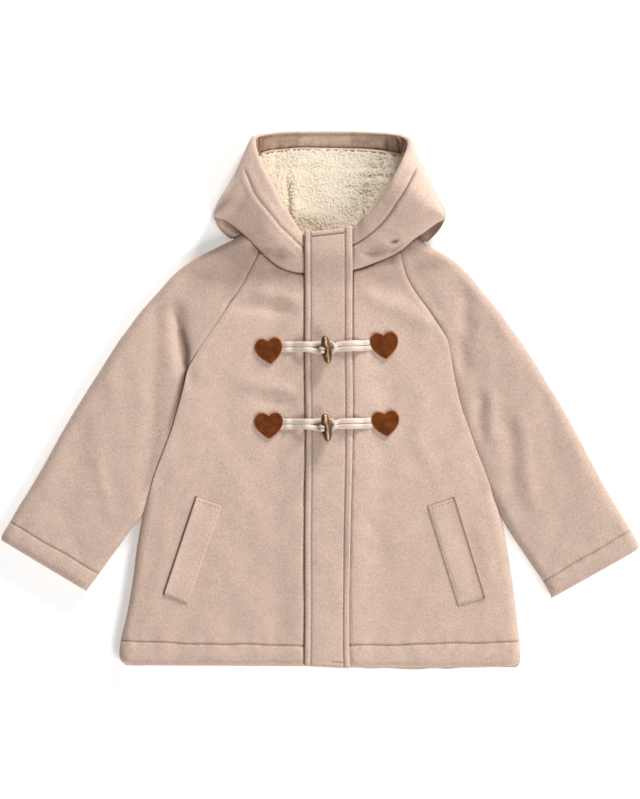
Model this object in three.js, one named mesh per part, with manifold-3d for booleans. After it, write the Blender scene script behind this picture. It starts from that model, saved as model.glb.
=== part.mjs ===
// A child's hooded duffle coat, lying on its back with its front up.
// Millimetres. X runs across the coat to the wearer's left, Y up the coat from hem to hood,
// Z up from the surface that it lies on. The tables give Y as "up", the height above the hem.

import * as THREE from 'three';
import Module from 'manifold-3d';
import * as BufferGeometryUtils from 'three/addons/utils/BufferGeometryUtils.js';

const wasm = await Module();
wasm.setup();

// Driving sizes
const overallHeight = 591; // hem to top of hood
const seamGap = 0.4; // between pieces that are sewn edge to edge
const layerGap = 0.3; // between pieces that lie on each other
const backWall = 8; // wool with its pile lining
const frontWall = 8.7;
const woolWall = 3.2;
const liningWall = 6;
const hoodWall = 7;
const flapWall = 4.5;
const rollReach = 11; // how far in from a side the cloth rolls over
const edgeWall = 1.4; // what is left of a wall at a rolled side
const middleX = 9; // where the two fronts meet
const flap = { left: -18, right: 36, bottom: -0.5, topLeft: 480, topRight: 486, ridge: 1.3, groove: 0.8 };
const cord = { width: 5.8, narrow: 4.6, pinched: 2.4, thick: 3 };
// The notch ends beyond the toggle's axis, and its floor lies below it
const toggleSize = { length: 31, radius: 5.9, notchLong: 8.8, notchDepth: 2.3, notchEnd: 0.3 };
const leatherWall = 2.2;
const weltWall = 3;

const frontBase = backWall + layerGap;
const frontTop = frontBase + frontWall;

// Body outline, hem to neck: x of the wearer's right and left edge, and where each row meets the middle
const bodyRows = [
  { up: 0, right: -213.5, left: 216.5, middle: 0 },
  { up: 6, right: -219.5, left: 220.5, middle: 5 },
  { up: 16, right: -221, left: 221, middle: 15 },
  { up: 34, right: -218.5, left: 219.5, middle: 33 },
  { up: 60, right: -212.5, left: 216.5, middle: 60 },
  { up: 95, right: -206.5, left: 212, middle: 95 },
  { up: 130, right: -202, left: 206.5, middle: 130 },
  { up: 167, right: -195.5, left: 199, middle: 166 },
  { up: 190, right: -189, left: 190.5, middle: 188 },
  { up: 214, right: -181.5, left: 182.5, middle: 210 },
  { up: 238, right: -172.5, left: 173, middle: 232 },
  { up: 262, right: -163.5, left: 164.5, middle: 254 },
  { up: 286, right: -156.5, left: 156, middle: 275 },
  { up: 308, right: -150.5, left: 150.5, middle: 295 },
  { up: 328, right: -145.5, left: 146.5, middle: 313 },
  { up: 346, right: -136, left: 143.5, middle: 329 },
  { up: 362, right: -126, left: 140, middle: 342 },
  { up: 378, right: -115, left: 131, middle: 355 },
  { up: 394, right: -104, left: 120, middle: 369 },
  { up: 410, right: -93, left: 107.5, middle: 384 },
  { up: 426, right: -83, left: 97.5, middle: 399 },
  { up: 442, right: -75, left: 92, middle: 414 },
  { up: 457, right: -66, left: 88.5, middle: 430 },
];
const hemLift = { right: 2.5, left: 0.3, fade: 60 }; // how far the hem ends above the lowest point of all
const sleeveFork = 7; // the row where the sleeves leave the body
const underarm = 14; // the row where the raglan seams start
const neckShapeStart = 17; // the row where the rows start to take the neck seam's shape

// Sleeve outline, from the fork row to the neck: the outer edge opposite each body row
const shoulderRows = [
  { rightX: -300, rightUp: 230, leftX: 298, leftUp: 229 },
  { rightX: -288, rightUp: 252, leftX: 287, leftUp: 250 },
  { rightX: -276, rightUp: 273, leftX: 275.5, leftUp: 271 },
  { rightX: -264, rightUp: 293, leftX: 264, leftUp: 291.5 },
  { rightX: -252, rightUp: 312, leftX: 252.5, leftUp: 310 },
  { rightX: -241, rightUp: 329, leftX: 242, leftUp: 327.5 },
  { rightX: -231, rightUp: 345, leftX: 231.5, leftUp: 344 },
  { rightX: -221.5, rightUp: 360, leftX: 221, leftUp: 360 },
  { rightX: -211, rightUp: 374, leftX: 211, leftUp: 373.5 },
  { rightX: -200, rightUp: 389, leftX: 200, leftUp: 389 },
  { rightX: -188, rightUp: 403, leftX: 188, leftUp: 403.5 },
  { rightX: -175, rightUp: 417.5, leftX: 176, leftUp: 418 },
  { rightX: -163, rightUp: 431, leftX: 163.5, leftUp: 433 },
  { rightX: -146, rightUp: 445, leftX: 147, leftUp: 448.5 },
  { rightX: -121, rightUp: 459, leftX: 127, leftUp: 460.5 },
  { rightX: -85, rightUp: 476, leftX: 107, leftUp: 472 },
];

// Free ends of the sleeves, cuff first: outer edge, and inner edge that faces the body
const rightCuffRows = [
  { outerX: -351, outerUp: 140.5, innerX: -257.5, innerUp: 84.5 },
  { outerX: -349.5, outerUp: 147, innerX: -253, innerUp: 90.5 },
  { outerX: -341, outerUp: 161, innerX: -243, innerUp: 104 },
  { outerX: -332, outerUp: 177, innerX: -231, innerUp: 121 },
  { outerX: -321.5, outerUp: 193.5, innerX: -219, innerUp: 137 },
  { outerX: -311, outerUp: 211, innerX: -207.5, innerUp: 153 },
];
const leftCuffRows = [
  { outerX: 348.5, outerUp: 129, innerX: 255, innerUp: 76.5 },
  { outerX: 350.5, outerUp: 136, innerX: 253, innerUp: 82 },
  { outerX: 342, outerUp: 152, innerX: 245, innerUp: 96 },
  { outerX: 331, outerUp: 170, innerX: 234, innerUp: 112 },
  { outerX: 319, outerUp: 190, innerX: 222, innerUp: 130 },
  { outerX: 308.5, outerUp: 209, innerX: 210.5, innerUp: 147 },
];

// Neck seam, from one raglan seam to the other
const neckSeam = [
  { x: -66, up: 457 }, { x: -54, up: 446 }, { x: -42, up: 438.5 }, { x: -25, up: 433 },
  { x: 0, up: 430 }, { x: 9, up: 430 }, { x: 25, up: 433 }, { x: 38, up: 436 },
  { x: 51, up: 439.5 }, { x: 64, up: 445.5 }, { x: 77, up: 452 }, { x: 88.5, up: 457 },
];

// Largest folds: middle line from one end to the other, half width, and height, below zero for a trough
const folds = [
  { x1: -93, up1: 401, x2: -30, up2: 392, width: 8, height: -2.4 },
  { x1: -88, up1: 417, x2: -32, up2: 408, width: 9, height: 1.8 },
  { x1: 46, up1: 413, x2: 112, up2: 384, width: 11, height: 2.4 },
  { x1: -74, up1: 312, x2: -32, up2: 304, width: 9, height: 2 },
  { x1: -60, up1: 294, x2: -32, up2: 292, width: 8, height: -1.8 },
  { x1: -158, up1: 390, x2: -147, up2: 322, width: 8, height: -4.2 },
  { x1: -180, up1: 388, x2: -188, up2: 207, width: 11, height: -2.4 },
  { x1: 159, up1: 404, x2: 158, up2: 335, width: 9, height: -3 },
  { x1: 175, up1: 295, x2: 176, up2: 262, width: 8, height: -2 },
  { x1: 189, up1: 293, x2: 190, up2: 258, width: 8, height: 2 },
  { x1: 209, up1: 260, x2: 211, up2: 200, width: 9, height: -2.4 },
  { x1: 224, up1: 262, x2: 232, up2: 190, width: 9, height: 2 },
  { x1: -150, up1: 434, x2: -80, up2: 417, width: 9, height: -1.8 },
  { x1: 108, up1: 436, x2: 143, up2: 446, width: 9, height: -1.8 },
  { x1: -66, up1: 464, x2: -46, up2: 456, width: 7, height: -3 },
  { x1: 81, up1: 470, x2: 88, up2: 467, width: 6, height: -4 },
  { x1: 58, up1: 459, x2: 76, up2: 452, width: 7, height: -3 },
];

// Hood sides, from the middle front round to the top: opening edge with its height above the table,
// seam of the front band, and outer edge, which is the neck seam up to "sewn" rows and a fold after it
const hoodRightRows = [
  { openX: 8.5, openUp: 466, openZ: 22, seamX: 8.5, seamUp: 449, outX: 8.5, outUp: 431.2 },
  { openX: -18, openUp: 478, openZ: 26, seamX: -20, seamUp: 464, outX: -25, outUp: 434.2 },
  { openX: -30, openUp: 494, openZ: 33, seamX: -36, seamUp: 477, outX: -41.4, outUp: 439.5 },
  { openX: -38, openUp: 506, openZ: 39, seamX: -47, seamUp: 486.5, outX: -53.2, outUp: 447 },
  { openX: -44, openUp: 514.5, openZ: 43, seamX: -55, seamUp: 497, outX: -65, outUp: 458 },
  { openX: -50, openUp: 527, openZ: 47, seamX: -63, seamUp: 509, outX: -84, outUp: 477.2 },
  { openX: -55, openUp: 537, openZ: 49, seamX: -69.5, seamUp: 519, outX: -102, outUp: 491.5 },
  { openX: -59, openUp: 545, openZ: 49, seamX: -74.5, seamUp: 529, outX: -117, outUp: 498 },
  { openX: -62, openUp: 551, openZ: 47, seamX: -78.5, seamUp: 537, outX: -112, outUp: 513 },
  { openX: -65, openUp: 558, openZ: 43, seamX: -82.5, seamUp: 546, outX: -100, outUp: 532 },
  { openX: -68, openUp: 566, openZ: 37, seamX: -86, seamUp: 555, outX: -92, outUp: 548 },
  { openX: -70, openUp: 574, openZ: 30, seamX: -84, seamUp: 566, outX: -84, outUp: 566 },
  { openX: -72, openUp: 583, openZ: 23, seamX: -77, seamUp: 583, outX: -77, outUp: 583 },
];
const hoodLeftRows = [
  { openX: 9.5, openUp: 466, openZ: 22, seamX: 9.5, seamUp: 449, outX: 9.5, outUp: 431.2 },
  { openX: 36, openUp: 484, openZ: 26, seamX: 38.5, seamUp: 465, outX: 38, outUp: 437.2 },
  { openX: 48, openUp: 497, openZ: 33, seamX: 54, seamUp: 476, outX: 63, outUp: 446.5 },
  { openX: 57, openUp: 505, openZ: 38, seamX: 66, seamUp: 487, outX: 87, outUp: 457.8 },
  { openX: 64, openUp: 514, openZ: 42, seamX: 76, seamUp: 499, outX: 105.6, outUp: 472.8 },
  { openX: 70, openUp: 522, openZ: 45, seamX: 83, seamUp: 509, outX: 116, outUp: 480 },
  { openX: 76, openUp: 531, openZ: 47, seamX: 90, seamUp: 519, outX: 128, outUp: 489 },
  { openX: 80, openUp: 539, openZ: 47, seamX: 95.5, seamUp: 528, outX: 138.5, outUp: 496 },
  { openX: 85, openUp: 548, openZ: 45, seamX: 101, seamUp: 538, outX: 133, outUp: 512 },
  { openX: 89, openUp: 556, openZ: 42, seamX: 106, seamUp: 548, outX: 122, outUp: 535 },
  { openX: 92, openUp: 563, openZ: 37, seamX: 109, seamUp: 558, outX: 113, outUp: 553 },
  { openX: 95, openUp: 571, openZ: 30, seamX: 106.5, seamUp: 569, outX: 106.5, outUp: 569 },
  { openX: 97, openUp: 583, openZ: 23, seamX: 101, seamUp: 583, outX: 101, outUp: 583 },
];
const hoodSewnRows = 5; // hood rows that end on the neck seam
const hoodSideRows = 11; // hood rows that the side panels reach, before the band takes the edge
const hoodSeamTop = 15.5;
const hoodFoldTop = 12.4;
const hoodFoldBase = 8.9;

// Back of the hood, neck to top: what lies on the surface under the sides. The ends of some rows dip
// to the corners that show below the sides
const hoodBackRows = [
  { up: 457.8, right: -65.2, left: 88, rightDip: 0, leftDip: 0 },
  { up: 466, right: -74, left: 99, rightDip: 0, leftDip: 0 },
  { up: 472.6, right: -80.8, left: 107.2, rightDip: 0, leftDip: 0 },
  { up: 477, right: -84.6, left: 117.3, rightDip: 0, leftDip: 9.4 },
  { up: 479.5, right: -97.5, left: 124.5, rightDip: 7.8, leftDip: 5 },
  { up: 483, right: -104, left: 129.5, rightDip: 7, leftDip: 3.2 },
  { up: 488, right: -112.3, left: 134, rightDip: 3, leftDip: 2.5 },
  { up: 498, right: -117, left: 139, rightDip: 0, leftDip: 0 },
  { up: 513, right: -112.5, left: 133, rightDip: 0, leftDip: 0 },
  { up: 532, right: -100.5, left: 124, rightDip: 0, leftDip: 0 },
  { up: 550, right: -91, left: 115, rightDip: 0, leftDip: 0 },
  { up: 566, right: -84, left: 107.5, rightDip: 0, leftDip: 0 },
  { up: 579, right: -78.5, left: 102, rightDip: 0, leftDip: 0 },
  { up: 587, right: -70, left: 93, rightDip: 0, leftDip: 0 },
  { up: overallHeight, right: -52, left: 74, rightDip: 0, leftDip: 0 },
];
const dipReach = 14; // how far in from its end a row of the hood's back dips
// Lining of the hood's back, neck to top
const liningRows = [
  { up: 462.5, right: -57, left: 82 },
  { up: 472.6, right: -63.8, left: 90.2 },
  { up: 480, right: -74, left: 100 },
  { up: 488, right: -88, left: 112 },
  { up: 498, right: -103, left: 125 },
  { up: 513, right: -99.5, left: 120 },
  { up: 532, right: -87.5, left: 111 },
  { up: 550, right: -78, left: 102 },
  { up: 564.6, right: -66, left: 87 },
];

// Facing inside the top of the hood
const facingColumns = [
  { x: -66.5, low: 567, high: 585.5 }, { x: -56, low: 570, high: 589 }, { x: -40, low: 571.8, high: 590.2 },
  { x: -22, low: 573.2, high: overallHeight }, { x: 0, low: 572.8, high: overallHeight },
  { x: 20, low: 572.5, high: overallHeight }, { x: 42, low: 572, high: overallHeight },
  { x: 60, low: 570.5, high: 590.6 }, { x: 76, low: 568.3, high: 589.6 }, { x: 90.5, low: 565.5, high: 586 },
];

const welts = [
  { name: 'pocket_welt_right', corners: [[-173, 81], [-146, 70], [-107, 179], [-137, 189]] },
  { name: 'pocket_welt_left', corners: [[152, 68], [182, 77], [148, 188], [118, 178]] },
];
const hearts = [
  { name: 'heart_patch_right_upper', x: -55.8, up: 348.6, width: 30.5, height: 29, tilt: 7 },
  { name: 'heart_patch_right_lower', x: -56.2, up: 266.4, width: 31.8, height: 29.3, tilt: 1 },
  { name: 'heart_patch_left_upper', x: 71, up: 354.5, width: 31.3, height: 30, tilt: 6 },
  { name: 'heart_patch_left_lower', x: 72.4, up: 268.6, width: 31, height: 28.4, tilt: 7 },
];
const fastenings = [
  { level: 'upper', loopUp: 353.3, cordUp: 354.4, toggleX: 6.9, toggleUp: 350.2, tilt: 8 },
  { level: 'lower', loopUp: 268.4, cordUp: 268.9, toggleX: 6.8, toggleUp: 264.6, tilt: 8 },
];

const wool = new THREE.MeshStandardMaterial({ color: 0xd2b9aa, roughness: 0.95, metalness: 0 });
const pile = new THREE.MeshStandardMaterial({ color: 0xe9d6bf, roughness: 1, metalness: 0 });
const leather = new THREE.MeshStandardMaterial({ color: 0x6a371b, roughness: 0.75, metalness: 0 });
const braid = new THREE.MeshStandardMaterial({ color: 0xf1dfd8, roughness: 0.85, metalness: 0 });
const horn = new THREE.MeshStandardMaterial({ color: 0x7a4a22, roughness: 0.4, metalness: 0 });

const coat = new THREE.Group();
coat.name = 'duffle_coat';
coat.position.set(0, -(overallHeight + flap.bottom) / 2, 0);

function mix(a, b, t) {
  return a + (b - a) * t;
}

function addMesh(name, geometry, material) {
  const mesh = new THREE.Mesh(geometry, material.clone());
  mesh.name = name;
  coat.add(mesh);
  return mesh;
}

// Closed solid from a grid of points, each with x, y, and the top and bottom of the wall there
function addWall(name, rows, material) {
  const columns = rows[0].length;
  const size = rows.length * columns;
  const flat = rows.flat();
  const places = flat.flatMap((p) => [p.x, p.y, p.top]).concat(flat.flatMap((p) => [p.x, p.y, p.bottom]));
  const a = rows[0][0];
  const b = rows[0][columns - 1];
  const c = rows[rows.length - 1][0];
  const mirrored = (b.x - a.x) * (c.y - a.y) - (b.y - a.y) * (c.x - a.x) < 0;
  const triangles = [];
  const quad = (i, j, k, l) => {
    if (mirrored) triangles.push(i, k, j, i, l, k);
    else triangles.push(i, j, k, i, k, l);
  };
  for (let r = 0; r + 1 < rows.length; r += 1) {
    for (let s = 0; s + 1 < columns; s += 1) {
      const at = r * columns + s;
      quad(at, at + 1, at + columns + 1, at + columns);
      quad(at + size, at + columns + size, at + columns + 1 + size, at + 1 + size);
    }
    const start = r * columns;
    const end = start + columns - 1;
    quad(start, start + columns, start + columns + size, start + size);
    quad(end + columns, end, end + size, end + columns + size);
  }
  for (let s = 0; s + 1 < columns; s += 1) {
    const last = (rows.length - 1) * columns + s;
    quad(s + 1, s, s + size, s + 1 + size);
    quad(last, last + 1, last + 1 + size, last + size);
  }
  const geometry = new THREE.BufferGeometry();
  geometry.setAttribute('position', new THREE.Float32BufferAttribute(places, 3));
  geometry.setIndex(triangles);
  geometry.computeVertexNormals();
  const mesh = addMesh(name, geometry, material);
  mesh.userData.rows = rows;
  return mesh;
}

// Height of the top of a wall at a place, on the facet that lies there
function topAt(mesh, x, y) {
  const rows = mesh.userData.rows;
  for (let r = 0; r + 1 < rows.length; r += 1) {
    for (let s = 0; s + 1 < rows[r].length; s += 1) {
      const corners = [rows[r][s], rows[r][s + 1], rows[r + 1][s + 1], rows[r + 1][s]];
      for (const [i, j, k] of [[0, 1, 2], [0, 2, 3]]) {
        const [a, b, c] = [corners[i], corners[j], corners[k]];
        const area = (b.x - a.x) * (c.y - a.y) - (c.x - a.x) * (b.y - a.y);
        const u = ((x - a.x) * (c.y - a.y) - (c.x - a.x) * (y - a.y)) / area;
        const v = ((b.x - a.x) * (y - a.y) - (x - a.x) * (b.y - a.y)) / area;
        const inside = u >= -1e-6 && v >= -1e-6 && u + v <= 1 + 1e-6;
        if (inside) return a.top + u * (b.top - a.top) + v * (c.top - a.top);
      }
    }
  }
  return undefined;
}

// How the cloth rises and falls with the folds; it is flat under the front flap
function foldHeight(x, y) {
  let height = 0;
  for (const fold of folds) {
    const lengthX = fold.x2 - fold.x1;
    const lengthY = fold.up2 - fold.up1;
    const length = Math.hypot(lengthX, lengthY);
    const along = ((x - fold.x1) * lengthX + (y - fold.up1) * lengthY) / length;
    const across = ((x - fold.x1) * lengthY - (y - fold.up1) * lengthX) / length;
    const past = Math.max(0, -along, along - length);
    height += fold.height * Math.exp(-((across / fold.width) ** 2) - (past / (1.5 * fold.width)) ** 2);
  }
  const fromFlap = Math.max(0, flap.left - x, x - flap.right);
  return height * THREE.MathUtils.smoothstep(fromFlap, 0, 22);
}

// How far a rolled side drops at a distance from its edge
function rollDrop(distance, depth) {
  const t = Math.min(1, Math.max(0, distance) / rollReach);
  return depth * (1 - Math.sqrt(1 - (1 - t) ** 2));
}

// Places across a row: close together where a side rolls over, even elsewhere
function across(width, count, rollsAtStart, rollsAtEnd) {
  const roll = [0, 1.2, 4, rollReach].map((d) => Math.min(d, width * 0.4 * (d / rollReach)));
  const head = rollsAtStart ? roll : [0];
  const tail = rollsAtEnd ? roll.map((d) => width - d).reverse() : [width];
  const start = head[head.length - 1];
  const end = tail[0];
  const inner = Array.from({ length: count - 1 }, (_, i) => mix(start, end, (i + 1) / count));
  return [...head, ...inner, ...tail];
}

function neckUp(x) {
  for (let i = 0; i + 1 < neckSeam.length; i += 1) {
    const a = neckSeam[i];
    const b = neckSeam[i + 1];
    if (x <= b.x) return mix(a.up, b.up, (x - a.x) / (b.x - a.x));
  }
  return neckSeam[neckSeam.length - 1].up;
}

// How much of the full roll a body side has at a row: all of it below the underarm, none on the raglan seam
function rollShare(row) {
  return 1 - THREE.MathUtils.smoothstep(row, underarm - 1, underarm + 2);
}

// What a hem or cuff loses at its edge rows
const hemDrop = [2.6, 0.7, 0];
const hemRise = 0.6; // share of that which the back pieces lose on their underside

// Height of a body place above the hem line, with the lift of that side of the hem
function liftedUp(up, lift) {
  return up + lift * Math.max(0, 1 - up / hemLift.fade);
}

// Half of the front, from its outer edge to the middle
function frontPanel(name, side) {
  const sign = side === 'right' ? -1 : 1;
  const middle = middleX + sign * layerGap;
  const neckRow = bodyRows.length - 1;
  const rows = bodyRows.map((row, r) => {
    const edge = row[side];
    const width = Math.abs(middle - edge);
    const share = rollShare(r);
    return across(width, 7, true, false).map((d) => {
      const t = d / width;
      const x = mix(edge, middle, t);
      const neckX = mix(bodyRows[neckRow][side], middle, t);
      const neckShape = neckUp(neckX) - mix(bodyRows[neckRow].up, bodyRows[neckRow].middle, t);
      const nearNeck = Math.max(0, (r - neckShapeStart) / (neckRow - neckShapeStart));
      const y = liftedUp(mix(row.up, row.middle, t), hemLift[side]) + neckShape * nearNeck ** 2;
      const roll = rollDrop(d, frontWall - edgeWall) * share;
      const dip = d < 3 ? 1.4 * (1 - share) * (1 - d / 3) : 0;
      const neckDip = r === neckRow ? 1.4 : 0;
      const folded = frontTop + foldHeight(x, y) * Math.min(1, d / rollReach);
      const top = Math.max(frontBase + edgeWall, folded - roll - dip - neckDip - (hemDrop[r] ?? 0));
      return { x, y, top, bottom: frontBase };
    });
  });
  return addWall(name, rows, wool);
}

// Rows that the back pieces keep of the body's rows
const backRowPicks = [0, 1, 2, 4, 6, 7, 9, 11, 13, 14, 16, 18, 20, 22];

function backPanel() {
  const rows = backRowPicks.map((r) => {
    const row = bodyRows[r];
    const width = row.left - row.right;
    const share = rollShare(r);
    return across(width, 6, true, true).map((d) => {
      const fromEdge = Math.min(d, width - d);
      const bow = r === bodyRows.length - 1 ? 4 * (1 - (2 * d / width - 1) ** 2) : 0;
      const rise = rollDrop(fromEdge, backWall - edgeWall) * share + (hemDrop[r] ?? 0) * hemRise;
      const bottom = Math.min(rise, backWall - edgeWall);
      const lift = mix(hemLift.right, hemLift.left, d / width);
      return { x: row.right + d, y: liftedUp(row.up, lift) - bow, top: backWall, bottom };
    });
  });
  return addWall('back', rows, wool);
}

// Rows of a sleeve, cuff first: outer point, inner point, and how much the inner side rolls
function sleeveRows(side, picks) {
  const sign = side === 'right' ? -1 : 1;
  const cuffRows = side === 'right' ? rightCuffRows : leftCuffRows;
  const free = cuffRows.map((row, r) => ({
    outer: [row.outerX, row.outerUp], inner: [row.innerX, row.innerUp], share: 1, drop: hemDrop[r] ?? 0,
  }));
  const joined = shoulderRows.map((row, i) => {
    const r = sleeveFork + i;
    const body = bodyRows[r];
    return {
      outer: [row[`${side}X`], row[`${side}Up`]],
      inner: [body[side] + sign * seamGap * 1.5, body.up],
      share: rollShare(r),
      drop: 0,
      bodyRow: r,
    };
  });
  return [...free, ...joined].filter((row) => row.bodyRow === undefined || picks.includes(row.bodyRow));
}

function sleevePanel(name, side, layer) {
  const front = layer === 'front';
  const picks = front ? bodyRows.map((_, r) => r) : backRowPicks;
  const rows = sleeveRows(side, picks).map((row) => {
    const width = Math.hypot(row.inner[0] - row.outer[0], row.inner[1] - row.outer[1]);
    return across(width, front ? 4 : 2, true, true).map((d) => {
      const t = d / width;
      const x = mix(row.outer[0], row.inner[0], t);
      const y = mix(row.outer[1], row.inner[1], t);
      const toInner = width - d;
      if (!front) {
        const rise = rollDrop(d, backWall - edgeWall) + rollDrop(toInner, backWall - edgeWall) * row.share;
        const bottom = Math.min(rise + row.drop * hemRise, backWall - edgeWall);
        return { x, y, top: backWall, bottom };
      }
      const roll = rollDrop(d, frontWall - edgeWall) + rollDrop(toInner, frontWall - edgeWall) * row.share;
      const dip = toInner < 3 ? 1.4 * (1 - row.share) * (1 - toInner / 3) : 0;
      const calm = Math.min(1, Math.min(d, toInner + 11 * (1 - row.share)) / rollReach);
      const folded = frontTop + foldHeight(x, y) * calm;
      const top = Math.max(frontBase + edgeWall, folded - roll - dip - row.drop);
      return { x, y, top, bottom: frontBase };
    });
  });
  return addWall(name, rows, wool);
}

// Height of a hood side above the table, at a share of the way from its opening edge to its outer edge
function hoodSection(row, index, share) {
  const sewn = index < hoodSewnRows;
  const topEdge = sewn ? hoodSeamTop : hoodFoldTop;
  const baseEdge = sewn ? frontBase : hoodFoldBase;
  const inside = Math.min(1, share / 0.94);
  return {
    base: baseEdge,
    top: topEdge + (row.openZ - topEdge) * Math.sqrt(1 - share ** 3),
    bottom: baseEdge + (row.openZ - hoodWall - baseEdge) * Math.sqrt(1 - inside ** 3),
  };
}

// One row of points of a hood piece, between two shares of the section
function hoodRow(row, index, from, to, steps) {
  return steps.map((step) => {
    const share = mix(from, to, step);
    const x = mix(row.openX, row.outX, share);
    const y = mix(row.openUp, row.outUp, share);
    const section = hoodSection(row, index, share);
    const fold = foldHeight(x, y) * (1 - share ** 6);
    return { x, y, top: section.top + fold, bottom: Math.max(section.base, section.bottom + fold) };
  });
}

// Share of the section where the band's seam lies: the two lines of a row are nearly parallel
function seamShare(row) {
  const whole = Math.hypot(row.outX - row.openX, row.outUp - row.openUp);
  const band = Math.hypot(row.seamX - row.openX, row.seamUp - row.openUp);
  return Math.min(1, band / whole);
}

function hoodPanels(side, table) {
  const bandSteps = [0, 0.35, 0.7, 1];
  const sideSteps = [0, 0.25, 0.5, 0.7, 0.84, 0.93, 0.98, 1];
  const bandRows = table.map((row, r) => {
    const whole = Math.hypot(row.outX - row.openX, row.outUp - row.openUp);
    const gap = r < hoodSideRows ? seamGap / whole : 0;
    const points = hoodRow(row, r, 0, seamShare(row) - gap, bandSteps);
    points[0].top -= 1.5;
    return points;
  });
  const sideRows = table.slice(0, hoodSideRows).map((row, r) => {
    return hoodRow(row, r, seamShare(row), 1, sideSteps);
  });
  addWall(`hood_band_${side}`, bandRows, wool);
  addWall(`hood_side_${side}`, sideRows, wool);
}

// Back of the hood: it rises towards its outline, all but beside the neck
function hoodBack() {
  const top = hoodBackRows.length - 1;
  const neckRows = 4;
  const edgeRise = 5;
  const dipShare = (distance) => Math.max(0, 1 - distance / dipReach) ** 1.5;
  const rows = hoodBackRows.map((row, r) => {
    const width = row.left - row.right;
    return across(width, 6, true, true).map((d) => {
      const fromSide = Math.min(d, width - d);
      const fromTop = overallHeight - row.up;
      const sideRise = r < neckRows ? 0 : rollDrop(fromSide, edgeRise);
      const rise = Math.max(sideRise, rollDrop(fromTop, edgeRise));
      const bow = r === 0 ? 3.6 * (1 - (2 * d / width - 1) ** 2) : 0;
      const crown = r === top ? 1.5 * (2 * d / width - 1) ** 2 : 0;
      const dip = row.rightDip * dipShare(d) + row.leftDip * dipShare(width - d);
      return { x: row.right + d, y: row.up - bow - crown - dip, top: woolWall + rise, bottom: rise };
    });
  });
  return addWall('hood_back', rows, wool);
}

function hoodLining() {
  const base = woolWall + layerGap;
  const rows = liningRows.map((row, r) => {
    const width = row.left - row.right;
    const endRow = r === 0 || r === liningRows.length - 1;
    return across(width, 6, false, false).map((d) => {
      const thin = endRow || d === 0 || d === width;
      const wall = thin ? liningWall - 2.2 : liningWall;
      return { x: row.right + d, y: row.up, top: base + wall, bottom: base };
    });
  });
  return addWall('hood_lining', rows, pile);
}

function hoodFacing(back) {
  const steps = [0, 0.35, 0.8, 1];
  const rise = [3.2, 4.2, 4.6, 2.6];
  const rimInset = 2.2; // the facing ends just inside the rim
  const rows = steps.map((step, s) => facingColumns.map((column) => {
    const y = mix(column.low, column.high - rimInset, step);
    const bottom = topAt(back, column.x, y) + layerGap + 0.2;
    return { x: column.x, y, top: bottom + rise[s], bottom };
  }));
  return addWall('hood_facing', rows, wool);
}

// Flap over the front closure: a ridge along each long side, with a stitched groove inside it
function frontFlap() {
  const columns = [
    { x: flap.left, lift: -1.6 }, { x: flap.left + 1.6, lift: 0.6 }, { x: flap.left + 4.5, lift: flap.ridge },
    { x: flap.left + 8.4, lift: -flap.groove }, { x: flap.left + 14, lift: 0.3 }, { x: middleX, lift: 0.6 },
    { x: flap.right - 14, lift: 0.3 }, { x: flap.right - 8.4, lift: -flap.groove },
    { x: flap.right - 4.5, lift: flap.ridge }, { x: flap.right - 1.4, lift: 0.8 },
    { x: flap.right, lift: -1.4 },
  ];
  const stretches = 24;
  const gape = { up: 145, reach: 45, height: 2.6 }; // where the free side stands off the front
  const rows = Array.from({ length: stretches + 1 }, (_, r) => columns.map((column) => {
    const acrossShare = (column.x - flap.left) / (flap.right - flap.left);
    const topUp = mix(flap.topLeft, flap.topRight, acrossShare);
    const share = r / stretches;
    const y = mix(flap.bottom, topUp, share);
    const climb = 10 * THREE.MathUtils.smoothstep(y, 415, 462);
    const openShare = Math.max(0, (column.x - 20) / (flap.right - 20)) ** 2;
    const stand = gape.height * openShare * Math.exp(-(((y - gape.up) / gape.reach) ** 2));
    const bottom = frontTop + layerGap + climb + stand;
    const endDrop = r === 0 || r === stretches ? 1.6 : 0;
    return { x: column.x, y, top: bottom + flapWall + column.lift - endDrop, bottom };
  }));
  return addWall('front_flap', rows, wool);
}

// A point's height on whichever front panel or flap lies there
function clothTop(panels, x, y) {
  return Math.max(...panels.map((panel) => topAt(panel, x, y) ?? 0));
}

function pocketWelt(welt, panels) {
  const [bottomStart, bottomEnd, topEnd, topStart] = welt.corners;
  const steps = [0, 0.06, 0.25, 0.5, 0.78, 0.94, 1];
  const lifts = [-1.2, 0, 0.4, 0.6, 0.4, 0, -1.2];
  const rows = [0, 0.02, 0.2, 0.4, 0.6, 0.8, 0.98, 1].map((v, r, all) => steps.map((u, s) => {
    const x = mix(mix(bottomStart[0], bottomEnd[0], u), mix(topStart[0], topEnd[0], u), v);
    const y = mix(mix(bottomStart[1], bottomEnd[1], u), mix(topStart[1], topEnd[1], u), v);
    const bottom = clothTop(panels, x, y) + layerGap;
    const endDrop = r === 0 || r === all.length - 1 ? 1.2 : 0;
    return { x, y, top: bottom + weltWall + Math.max(-1.4, lifts[s] - endDrop), bottom };
  }));
  return addWall(welt.name, rows, wool);
}

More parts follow.
